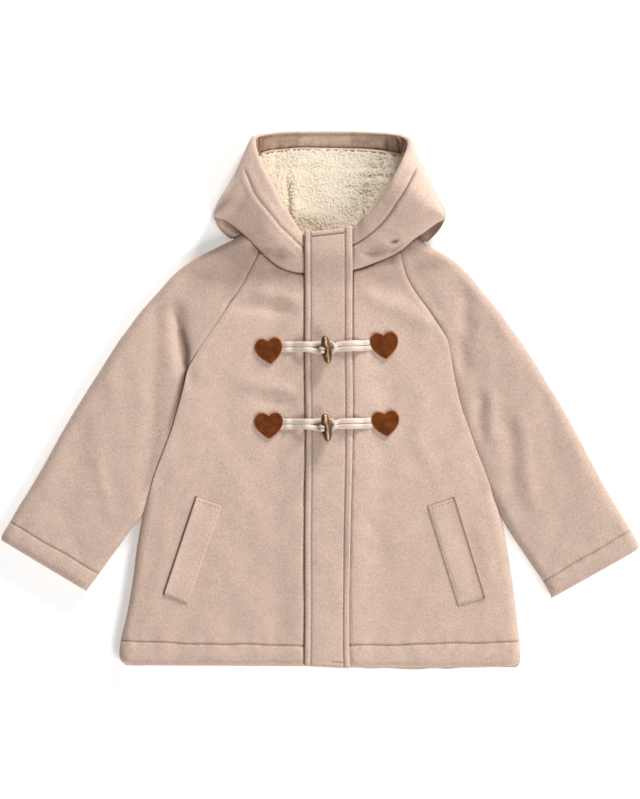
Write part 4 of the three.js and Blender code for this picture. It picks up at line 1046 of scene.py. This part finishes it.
def hood_lining():
    base = WOOL_WALL + LAYER_GAP
    low_end, high_end = LINING[0, 0], LINING[-1, 0]
    ups = np.linspace(low_end, high_end, 66)[:, None]
    right, left = lining_outline(ups)
    t = np.linspace(0, 1, 110)
    x = mix(right, left, t)
    y = np.broadcast_to(ups, x.shape)
    rim = np.minimum(np.minimum(t, 1 - t) * (left - right), y - low_end)
    top = base + LINING_WALL - 2.2 * (1 - smoothstep(rim, 0, 6)) + lining_relief(x, y) - 1.0
    top = mix(top, base + 0.45, smoothstep(y - facing_low(x), -1.5, 1.0))
    obj = add_cloth("hood_lining_cloth", x, y, top, np.full_like(top, base), pile)
    set_attribute(obj, "tip", [0.5] * len(obj.data.vertices))
    widest = (left - right).max() + ROLLED_EDGES
    finish_cloth(obj, widest, high_end - low_end + 4, ["hood_back_cloth"], "pile")

    places = []
    spacing = 2.5
    for up in np.arange(low_end + 2, 571, spacing):
        low, high = lining_outline(up)
        for px in np.arange(low + 2, high - 2, spacing):
            if in_opening(px, up, 9) and up < facing_low(px) + 0.4:
                places.append((px + rng.uniform(-1.2, 1.2), up + rng.uniform(-1.2, 1.2)))
    for px in np.arange(-64, 90, 2.1):
        places.append((px + rng.uniform(-0.6, 0.6), float(facing_low(px)) - 0.5))

    def height_at(px, py):
        return base + LINING_WALL - 1.2 + lining_relief(np.array(px), np.array(py))

    pile_curls(places, height_at, 2.7, 1.7, -math.pi / 2)


# Puckers of the facing: x, half width, height
FACING_PUCKERS = [
    (73.5, 2.2, -1.8), (87, 2.4, -2.0), (80, 3, 0.9), (66, 3, 0.7), (-46, 6, -0.8), (-20, 7, 0.7),
    (6, 6, -0.6), (33, 7, 0.7), (52, 5, -0.7),
]
# Painted shade in the facing's puckers: x, half width, strength
FACING_PUCKER_SHADE = [(74, 1.3, 0.45), (86.5, 1.5, 0.65), (89.5, 1.2, 0.3), (-46, 2.5, 0.12), (40, 3, 0.1)]
# Where the points of the facing lie, from its lower edge to its upper one
FACING_STEPS = np.array([
    0, 0.03, 0.07, 0.11, 0.14, 0.17, 0.2, 0.23, 0.27, 0.33, 0.4, 0.5, 0.6, 0.7, 0.8, 0.88, 0.94, 0.98, 1,
])


def hood_facing():
    """The wool turned in along the top of the opening, puckered, with a bound lower edge."""
    table = spline(FACING, np.linspace(0, len(FACING) - 1, 110))
    s = FACING_STEPS[:, None]
    x = np.repeat(table[:, 0][None], len(s), axis=0)
    low, high = table[:, 1] - FACING_DROP, table[:, 2] - 2.2
    y = mix(low, high, s)
    sides = roll_drop(np.minimum(x + 84, 107 - x), 5.0)
    bottom = WOOL_WALL + np.maximum(roll_drop(OVERALL_HEIGHT - y, 5.0), sides) + 0.9
    rise = np.interp(s, [0, 0.16, 0.35, 0.8, 1], [2.6, 2.4, 3.8, 4.6, 2.4])
    pucker = sum(depth * bell(x - at - 2 * (s - 0.5), width) for at, width, depth in FACING_PUCKERS)
    binding = bell(s - 0.08, 0.06) + groove(s - 0.2, 0.035, 1.1)
    ends = np.minimum(x - x.min(), x.max() - x)
    top = bottom + rise * (0.35 + 0.65 * smoothstep(ends, 0, 6)) + pucker * np.sin(np.pi * s) + binding
    top = np.maximum(top, bottom + 0.8)
    # Painted shadow over the facing's lower part above the binding, a dark line in the groove above the
    # binding, partly seam and partly painted shade, a faint line along its upper edge, and painted shade in
    # its puckers
    shadow = mark(np.maximum(0, s - 0.22), 0.34, 0.34) * (1 + 0.3 * waves(x, y, 9, 17))
    dark = mark(s - 0.2, 0.045, 0.55) + shadow * (s > 0.17) + mark(high - y, 0.8, 0.12)
    inner = smoothstep(s, 0.18, 0.3) * (1 - smoothstep(s, 0.75, 0.9))
    for at, width, strength in FACING_PUCKER_SHADE:
        dark += mark(x - at - 3 * (0.6 - s), width, strength) * inner
    obj = add_cloth("hood_facing_cloth", x, y, top, bottom, wool_facing, seam=dark)
    bound = 1 - smoothstep(y - table[:, 1], -0.3, 0.6)
    set_attribute(obj, "binding", np.concatenate([bound, bound]).ravel())
    finish_cloth(obj, 160, 24, ["hood_back_cloth"])


# Front flap
# Its upper side beside each long edge: distance from the edge, height over the flap
FLAP_PROFILE = np.array([
    (0, -1.4), (0.25, -0.3), (0.8, 0.3), (2, 0.65), (4, 0.8), (6, 0.6), (7.2, 0.1), (7.9, -0.8),
    (8.35, -1.0), (8.9, -0.5), (10, 0), (14, 0.2), (20, 0.25),
])
# Stitch lines of the flap: distance from the long edges, from the upper end and from the lower end
FLAP_SEAM = 8.35
FLAP_TOP_SEAM = 5.6
FLAP_LOW_SEAM = 6
# How much nearer the stitch line lies to the edge on the wearer's right
FLAP_NARROW = 1.1


def front_flap():
    width = FLAP["right"] - FLAP["left"]
    near = steps([(20, 0.55)])
    across = np.concatenate([near, np.linspace(20, width - 20, 12)[1:-1], width - near[::-1]])
    to_edge = np.minimum(across, width - across)
    lift = np.interp(np.minimum(across * FLAP_NARROW, width - across), *FLAP_PROFILE.T)
    rows = steps([(4, 0.5), (9, 0.6), (474, 2.4), (486, 0.7)])[:, None]
    ridge_ends = np.where(across < 9, 0.7, np.where(across > width - 9, 0.3, -1.2))
    top_up = mix(FLAP["top_left"], FLAP["top_right"], across / width) + ridge_ends
    corner = 1.6 * (np.maximum(0, 1 - (width - across) / 3.5) ** 2 + np.maximum(0, 1 - across / 2) ** 2)
    low_up = FLAP["bottom"] + 2.6 * (1 - across / width) + corner
    y = mix(low_up, top_up, rows / rows[-1])
    sway = flap_sway(y)
    left, right = flap_sides(y)
    x = FLAP["left"] + across + sway
    x = x + np.interp(width - across, [0, 36], [1.0, 0.0]) ** 2 * (right - FLAP["right"] - sway)
    x = x + np.maximum(0, 1 - across / 24) ** 2 * (left - FLAP["left"] - sway)
    gape = 2.6 * (np.maximum(0, (x - 20) / 16) ** 2) * bell(y - 145, 45)
    bottom = FRONT_TOP + LAYER_GAP + 10 * smoothstep(y, 415, 462) + np.minimum(2.6, gape)
    from_low, from_top = y - low_up, top_up - y
    inner = smoothstep(to_edge, 8, 10)
    low_line = smoothstep(across, width / 2, width / 2 + 6) * inner
    top = bottom + FLAP_WALL + lift - 1.2 * np.exp(-across / 5)
    top += 0.35 * waves(x, y, 40, 31) * smoothstep(to_edge, 0, 6)
    top -= 2.4 * (rounded(from_low, 4) + rounded(from_top, 3))
    top += inner * groove(from_top - FLAP_TOP_SEAM, 0.9, 1.7)
    top += low_line * groove(from_low - FLAP_LOW_SEAM, 0.9, 0.9)
    top = np.maximum(top, bottom + 1.0)
    from_seam = across - FLAP_SEAM / FLAP_NARROW
    sew_along(x, y, top, np.broadcast_to(from_seam, x.shape), (12, 8))
    sew_along(x, y, top, np.broadcast_to(across - (width - FLAP_SEAM), x.shape), (12, 8))
    middle = slice(int(np.searchsorted(across, 10)), int(np.searchsorted(across, width - 10)))
    sew_across(*(grid[:, middle] for grid in (x, y, top, FLAP_TOP_SEAM - from_top)))
    # Dark stitch lines, and painted shade along the flap's edge on the wearer's right
    dark = mark(from_seam, 0.8, 0.42) + mark(width - across - FLAP_SEAM, 0.8, 0.25) + mark(across, 0.9, 0.6)
    dark = dark + inner * mark(from_top - FLAP_TOP_SEAM, 0.9, 0.5)
    dark = dark + low_line * mark(from_low - FLAP_LOW_SEAM, 0.9, 0.25)
    obj = add_cloth("front_flap_cloth", x, y, top, bottom, wool_flap, seam=dark)
    length = FLAP["top_right"] + 10
    finish_cloth(obj, width + ROLLED_EDGES, length, ["front_left_cloth", "front_right_cloth"])


# Pocket welts: set almost flush, open along their outer long side
WELT_SEAM = {"sewn": 3.4, "end": 3.2}
# Where a welt's points lie along it, and across it
WELT_LONG = np.concatenate(
    [[0, 0.004, 0.01, 0.018, 0.03], np.linspace(0.045, 0.955, 56), [0.97, 0.982, 0.99, 0.996, 1]]
)[:, None]
WELT_WIDE = np.concatenate(
    [np.linspace(0, 0.11, 6)[:-1], np.linspace(0.11, 0.89, 26)[:-1], np.linspace(0.89, 1, 6)]
)


def pocket_welt(side):
    name = f"pocket_welt_{side}"
    start_low, end_low, end_high, start_high = np.array(WELTS[name], float)
    low = mix(start_low, end_low, WELT_WIDE[:, None])
    high = mix(start_high, end_high, WELT_WIDE[:, None])
    spots = mix(low, high, WELT_LONG[..., None])
    x, y = spots[..., 0], spots[..., 1]
    width = (np.linalg.norm(end_high - start_high) + np.linalg.norm(end_low - start_low)) / 2
    length = np.linalg.norm(high[0] - low[0])
    across = np.broadcast_to(WELT_WIDE * width, x.shape)
    from_open = across if side == "right" else width - across
    from_sewn = width - from_open
    along = np.broadcast_to(WELT_LONG * length, x.shape)
    from_end = np.minimum(along, length - along)
    ground = FRONT_TOP + relief(x, y)
    height = 1.5 + 0.9 * bell(from_open, 6) - 1.7 * bell(from_open, 0.9) - 0.9 * bell(from_sewn, 2.2)
    height += groove(from_sewn - WELT_SEAM["sewn"], 0.7, 0.35) - 1.1 * bell(from_end, 1.5)
    top = ground + LAYER_GAP + np.maximum(0.35, height)
    seam_at = width - WELT_SEAM["sewn"] if side == "right" else WELT_SEAM["sewn"]
    sew_along(x, y, top, across - seam_at, (6, 6))
    for at in (WELT_SEAM["end"], length - WELT_SEAM["end"]):
        sew_across(x, y, top, along - at)
    # Painted shade in the pocket's opening along the open side, darker lines at the ends, and a faint line at
    # the sewn side
    dark = mark(from_open - 0.4, 1.3 if side == "right" else 1.9) + mark(from_end, 1.0, 0.4)
    dark += mark(from_sewn, 0.8, 0.12)
    obj = add_cloth(f"{name}_cloth", x, y, top, ground + 0.05, wool, seam=dark)
    finish_cloth(obj, width + 2, length + 2, [f"front_{side}_cloth"])


# Leather hearts
# Half of a heart's outline from the notch to the point, in shares of half the width and height
HEART_HALF = [
    (0, 0.77), (0.15, 0.88), (0.34, 0.98), (0.54, 1), (0.74, 0.92), (0.91, 0.71), (1, 0.42), (0.97, 0.11),
    (0.84, -0.21), (0.59, -0.52), (0.29, -0.79), (0, -1),
]
# Rings of a heart from its underside to its middle: scale, height, share of the cut edge's colour
HEART_RINGS = [
    (1, 0, 1), (1.0, 1.2, 1), (0.995, 1.6, 1), (0.98, 1.95, 0.9), (0.955, 2.15, 0.45), (0.92, 2.25, 0.12),
    (0.87, 2.2, 0), (0.8, 2.25, 0), (0.65, 2.4, 0), (0.5, 2.5, 0), (0.3, 2.6, 0), (0.12, 2.6, 0),
]
HEART_POINTS = 140


def turned(x, y, degrees):
    turn = math.radians(degrees)
    return x * math.cos(turn) - y * math.sin(turn), x * math.sin(turn) + y * math.cos(turn)


def heart_patch(name):
    middle_x, middle_up, width, height, tilt = HEARTS[name]
    half = spline(HEART_HALF, np.linspace(0, len(HEART_HALF) - 1, HEART_POINTS // 2 + 1))
    outline = np.concatenate([half, half[1:-1][::-1] * (-1, 1)])
    rings = []
    for scale, lift, _ in HEART_RINGS:
        x, y = turned(*(outline * (width, height) / 2 * scale).T, tilt)
        x, y = middle_x + x, middle_up + y
        rings.append(np.stack([x, y, FRONT_TOP + relief(x, y) + LAYER_GAP + lift], axis=1))
    faces = [face[::-1] for face in loft_faces(len(rings), HEART_POINTS)]
    edges = np.repeat([edge for _, _, edge in HEART_RINGS], HEART_POINTS)
    add_form(name + "_suede", np.concatenate(rings), faces, leather, "leather", name, edge=edges)


# Cords: heights of their middles on the front, on the flap, on its edges and over each other
ON_FRONT = FRONT_TOP + LAYER_GAP + 0.5 + CORD["thick"] / 2
ON_FLAP = FRONT_TOP + LAYER_GAP * 2 + FLAP_WALL + 0.4 + CORD["thick"] / 2
ON_RIDGE = ON_FLAP + 1.7
OVER_CORD = ON_FLAP + CORD["thick"] + 0.7
TOGGLE_Z = ON_FLAP + CORD["thick"] / 2 + 0.6 + TOGGLE["radius"]
# How far below a toggle's middle its cord wraps it
WRAP_DROP = 0.8
UNDER_PATCH = {"z": FRONT_TOP + 1.05, "thick": 1.5}

# Points round a cord, distance between its rings, and length of one twist of its braid
TUBE_SIDES = 22
TUBE_SPACING = 0.62
BRAID_PITCH = 2.3


def braided_tube(name, route):
    """A flat braided cord through (x, up, z, width, thickness) points."""
    rough = spline(route, np.linspace(0, len(route) - 1, 900))
    run = run_along(rough[:, :3])
    count = round(run[-1] / TUBE_SPACING)
    middle = between(rough, run, np.linspace(0, run[-1], count))
    ahead = np.gradient(middle[:, :3], axis=0)
    ahead /= np.linalg.norm(ahead, axis=1)[:, None]
    flat_side = np.array([0, 1.0, 0])
    points, valleys = [], []
    angle = math.tau * np.arange(TUBE_SIDES) / TUBE_SIDES
    for i in range(count):
        flat_side = flat_side - ahead[i] * flat_side.dot(ahead[i])
        flat_side = flat_side / np.linalg.norm(flat_side)
        up_side = np.cross(ahead[i], flat_side)
        phase = math.pi * run[-1] * i / count / BRAID_PITCH
        weave = np.sqrt(np.abs(np.sin(phase + 2 * angle) * np.sin(phase - 2 * angle)))
        half_width, half_thick = middle[i, 3:, None] / 2 * (1 + 0.09 * (weave - 0.5))
        ring = np.outer(np.cos(angle) * half_width, flat_side) + np.outer(np.sin(angle) * half_thick, up_side)
        points.append(middle[i, :3] + ring)
        # Lighter on the ridges of the weave and darker in its valleys, as painted light and shade
        valleys.extend(np.clip(0.2 + 0.8 * weave, 0, 1))
    faces = loft_faces(count, TUBE_SIDES)
    add_form(name + "_braid", np.concatenate(points), faces, braid, "braid", name, valley=valleys)


def strand_pair(outward, end):
    """Two strands of one cord, side by side out to its end, from (x, up, half spacing, z, width) points."""
    strands = []
    for sign in (1, -1):
        strands.append([
            (x, up + sign * off, z, width, UNDER_PATCH["thick"] if z == UNDER_PATCH["z"] else CORD["thick"])
            for x, up, off, z, width in outward
        ])
    return [*strands[0], (*end, CORD["thick"]), *reversed(strands[1])]


def loop_cord(level, fastening, patch_x):
    up = fastening["loop_up"]
    width, narrow = CORD["width"], CORD["narrow"]
    outward = [
        (patch_x - 5, up, 3.1, UNDER_PATCH["z"], width),
        (patch_x - 1, up, 3.1, UNDER_PATCH["z"], width),
        (patch_x + 4, up, 3.1, ON_FRONT - 0.2, width),
        (-30, up, 3.0, ON_FRONT, width),
        (-22.5, up, 2.9, ON_FLAP - 1.4, width),
        (-14.5, up, 2.9, ON_RIDGE, width),
        (-7, up - 0.6, 3.5, ON_FLAP + 0.5, width),
        (0, up - 1.4, 4.9, ON_FLAP, 5.2),
        (6.5, up - 1.6, 5.7, ON_FLAP, narrow),
        (11, up - 1.4, 5.4, ON_FLAP + 1.2, narrow),
        (14.2, up - 1.2, 4.0, OVER_CORD - 0.2, narrow),
    ]
    braided_tube(f"loop_cord_{level}", strand_pair(outward, (16.2, up - 1.1, OVER_CORD + 0.2, narrow)))


def toggle_cord(level, fastening, patch_x):
    cord_up, loop_up, toggle_x = fastening["cord_up"], fastening["loop_up"], fastening["toggle_x"]
    up = mix(fastening["toggle_up"], loop_up, 0.5)
    width, narrow, pinched = CORD["width"], CORD["narrow"], CORD["pinched"]
    wrap_up = fastening["toggle_up"] - WRAP_DROP
    off = 1.3
    outward = [
        (patch_x + 5, cord_up + 1.2, 3.1, UNDER_PATCH["z"], width),
        (patch_x + 1, cord_up + 0.8, 3.1, UNDER_PATCH["z"], width),
        (patch_x - 4, cord_up + 0.4, 3.1, ON_FRONT - 0.2, width),
        (46, cord_up, 3.1, ON_FRONT + 0.6, width),
        (38.5, cord_up, 3.1, ON_FLAP + 0.9, width),
        (31, mix(cord_up, loop_up, 0.4), 3.1, ON_RIDGE, width),
        (22, mix(cord_up, loop_up, 0.8), 3, ON_FLAP, 5.4),
        (17.5, mix(loop_up, up, 0.4), 2.5, ON_FLAP, 4.4),
        (14, mix(loop_up, up, 0.7), 1.8, ON_FLAP, 3.2),
        (toggle_x + 2, up, off, TOGGLE_Z - 8, pinched),
        (toggle_x - 3.6, wrap_up, off, TOGGLE_Z - 7.2, pinched),
        (toggle_x - 6.6, wrap_up, 1.8, TOGGLE_Z - 3.4, 3.2),
        (toggle_x - 6.2, wrap_up, 1.9, TOGGLE_Z + 1.4, 3.6),
        (toggle_x - 4.0, wrap_up, 1.9, TOGGLE_Z + 3.2, 3.6),
        (toggle_x - 2, wrap_up, 1.8, TOGGLE_Z + 1.6, 3.2),
    ]
    end = (toggle_x - 1.7, wrap_up, TOGGLE_Z - 0.4, pinched)
    braided_tube(f"toggle_cord_{level}", strand_pair(outward, end))


# A toggle's half profile from its middle to its tip: share of the radius, share of the length
TOGGLE_HALF = [
    (0, 0.5), (0.16, 0.497), (0.34, 0.478), (0.54, 0.43), (0.73, 0.335), (0.89, 0.21), (0.97, 0.1), (1, 0),
]
TOGGLE_SIDES = 44


def notch_cutter():
    """A rounded block over the toggle's notch, from its middle out past one side."""
    cut = bmesh.new()
    bmesh.ops.create_cube(cut, size=1)
    radius, notch_end = TOGGLE["radius"], TOGGLE["notch_end"]
    for vertex in cut.verts:
        vertex.co.x = notch_end if vertex.co.x > 0 else -3 * radius
        vertex.co.y = vertex.co.y * TOGGLE["notch_long"] - WRAP_DROP
        vertex.co.z = vertex.co.z * 2 * radius + radius - TOGGLE["notch_depth"]
    bmesh.ops.bevel(cut, geom=cut.edges[:], offset=1.6, segments=4, affect="EDGES")
    cutter = add_object("notch_cut", [], [], [])
    cut.to_mesh(cutter.data)
    cut.free()
    return cutter


def horn_toggle(level, fastening):
    """A spindle with a notch from its middle to one side, open at the top, for its cord."""
    half = spline(TOGGLE_HALF, np.linspace(0, len(TOGGLE_HALF) - 1, 22))
    profile = np.concatenate([half * (1, -1), half[-2::-1]])[1:-1]
    angle = math.tau * np.arange(TOGGLE_SIDES) / TOGGLE_SIDES
    rings = [
        np.stack([np.cos(angle) * radius * TOGGLE["radius"], np.full_like(angle, along * TOGGLE["length"]),
                  np.sin(angle) * radius * TOGGLE["radius"]], axis=1)
        for radius, along in profile
    ]
    faces = [(face[0], *face[:0:-1]) for face in loft_faces(len(rings), TOGGLE_SIDES)]
    barrel = add_object(f"toggle_{level}_horn", np.concatenate(rings), faces, [])
    cutter = notch_cutter()
    boolean = barrel.modifiers.new("notch", "BOOLEAN")
    boolean.object = cutter
    boolean.operation = "DIFFERENCE"
    boolean.solver = "EXACT"
    barrel.data = bpy.data.meshes.new_from_object(barrel.evaluated_get(bpy.context.evaluated_depsgraph_get()))
    barrel.modifiers.clear()
    bpy.data.objects.remove(cutter)
    # A painted golden highlight along the toggle's top
    painted_highlights = []
    for vertex in barrel.data.vertices:
        x, y, z = vertex.co
        painted_highlights.append(bell(math.degrees(math.atan2(z, x)) - 78, 17))
        x, y = turned(x, y, fastening["tilt"])
        vertex.co = place(fastening["toggle_x"] + x, fastening["toggle_up"] + y, TOGGLE_Z + z)
    set_attribute(barrel, "painted_highlight", painted_highlights)
    barrel.data.materials.clear()
    barrel.data.materials.append(horn)
    barrel.data.polygons.foreach_set("use_smooth", [True] * len(barrel.data.polygons))
    finish_piece(barrel, f"toggle_{level}")


# Stitches: length, gap between two, radius
STITCH = (2.6, 1.1, 0.42)
# Rings of a stitch: share of its length, size, height
STITCH_RINGS = [(0, 0.35, -0.5), (0.18, 0.9, 0.0), (0.5, 1, 0.12), (0.82, 0.9, 0), (1, 0.35, -0.5)]
STITCH_SIDES = 5


def stitches(name, lines):
    """Short threads along lines of (x, up, z) places."""
    length, gap, thick = STITCH
    angle = math.tau * np.arange(STITCH_SIDES)[:, None] / STITCH_SIDES
    faces = loft_faces(len(STITCH_RINGS), STITCH_SIDES, False, False)
    threads = []
    for line in map(np.array, lines):
        run = run_along(line)
        for start in np.arange(gap, run[-1] - length, length + gap):
            first, last = between(line, run, [start, start + length]) + (0, 0, 0.12)
            way = (last - first) / np.linalg.norm(last - first)
            side_way = np.cross(way, UPWARD)
            side_way /= np.linalg.norm(side_way)
            up_way = np.cross(side_way, way)
            ring = (side_way * np.cos(angle) + up_way * np.sin(angle)) * thick
            spots = [
                mix(first, last, share) + ring * size + up_way * lift for share, size, lift in STITCH_RINGS
            ]
            threads.append((np.concatenate(spots), faces))
    add_form(name, *joined(threads), thread, "wool")


for side_name in SIDES:
    front_panel(side_name)
back_panel()
for side_name in SIDES:
    sleeve(side_name)
hood_back()
hood_allowance()
hood_lining()
hood_facing()
for side_name in SIDES:
    hood_side(side_name)
front_flap()
for side_name in SIDES:
    pocket_welt(side_name)
for heart_name in HEARTS:
    heart_patch(heart_name)
for level_name, level_facts in FASTENINGS.items():
    loop_heart = HEARTS[f"heart_patch_right_{level_name}"]
    cord_heart = HEARTS[f"heart_patch_left_{level_name}"]
    loop_cord(level_name, level_facts, loop_heart[0] + loop_heart[2] / 2)
    toggle_cord(level_name, level_facts, cord_heart[0] - cord_heart[2] / 2)
    horn_toggle(level_name, level_facts)
stitches("stitches_wool", SEWN_LINES)

# Floor, lights and camera
VIEW_HEIGHT = 0.8789
CAMERA_DISTANCE = 6.0
floor_material, _, floor_shader = new_material("floor_pale", 0.9, specular=0.1)
floor_shader.inputs["Base Color"].default_value = (0.93, 0.93, 0.93, 1)
floor_shader.inputs["Emission Color"].default_value = (1, 1, 1, 1)
floor_shader.inputs["Emission Strength"].default_value = 0.28
floor = add_object(
    "floor", [(-15, -15, -0.0005), (15, -15, -0.0005), (15, 15, -0.0005), (-15, 15, -0.0005)], [(0, 1, 2, 3)],
    [floor_material], smooth=False,
)

world = bpy.data.worlds.new("studio")
world.use_nodes = True
world.node_tree.nodes["Background"].inputs["Color"].default_value = (1, 0.99, 0.98, 1)
world.node_tree.nodes["Background"].inputs["Strength"].default_value = 0.36
bpy.context.scene.world = world


def area_light(name, spot, target, size, power, colour=(1, 1, 1)):
    data = bpy.data.lights.new(name, "AREA")
    data.shape = "SQUARE"
    data.size = size
    data.energy = power
    data.color = colour
    light = bpy.data.objects.new(name, data)
    way = np.array(target, float) - np.array(spot, float)
    way /= np.linalg.norm(way)
    light.location = spot
    light.rotation_euler = (math.acos(-way[2]), 0, math.atan2(-way[0], way[1]))
    bpy.context.scene.collection.objects.link(light)


def around(azimuth, elevation, distance):
    """A light's place: azimuth in degrees to the right of the coat's top."""
    turn, rise = math.radians(azimuth), math.radians(elevation)
    flat = distance * math.cos(rise)
    return flat * math.sin(turn), flat * math.cos(turn), distance * math.sin(rise)


area_light("key", around(27, 19, 5.5), (0, 0, 0), 1.3, 350, (1, 0.985, 0.96))
area_light("softbox", around(140, 38, 4.2), (0, 0, 0), 2.4, 125, (1, 0.99, 0.98))

camera_data = bpy.data.cameras.new("camera")
camera_data.lens = 36 * CAMERA_DISTANCE / VIEW_HEIGHT
camera = bpy.data.objects.new("camera", camera_data)
camera.location = (0, 0.0001, CAMERA_DISTANCE + 0.017)
bpy.context.scene.collection.objects.link(camera)
bpy.context.scene.camera = camera
bpy.context.scene.view_settings.view_transform = "Standard"
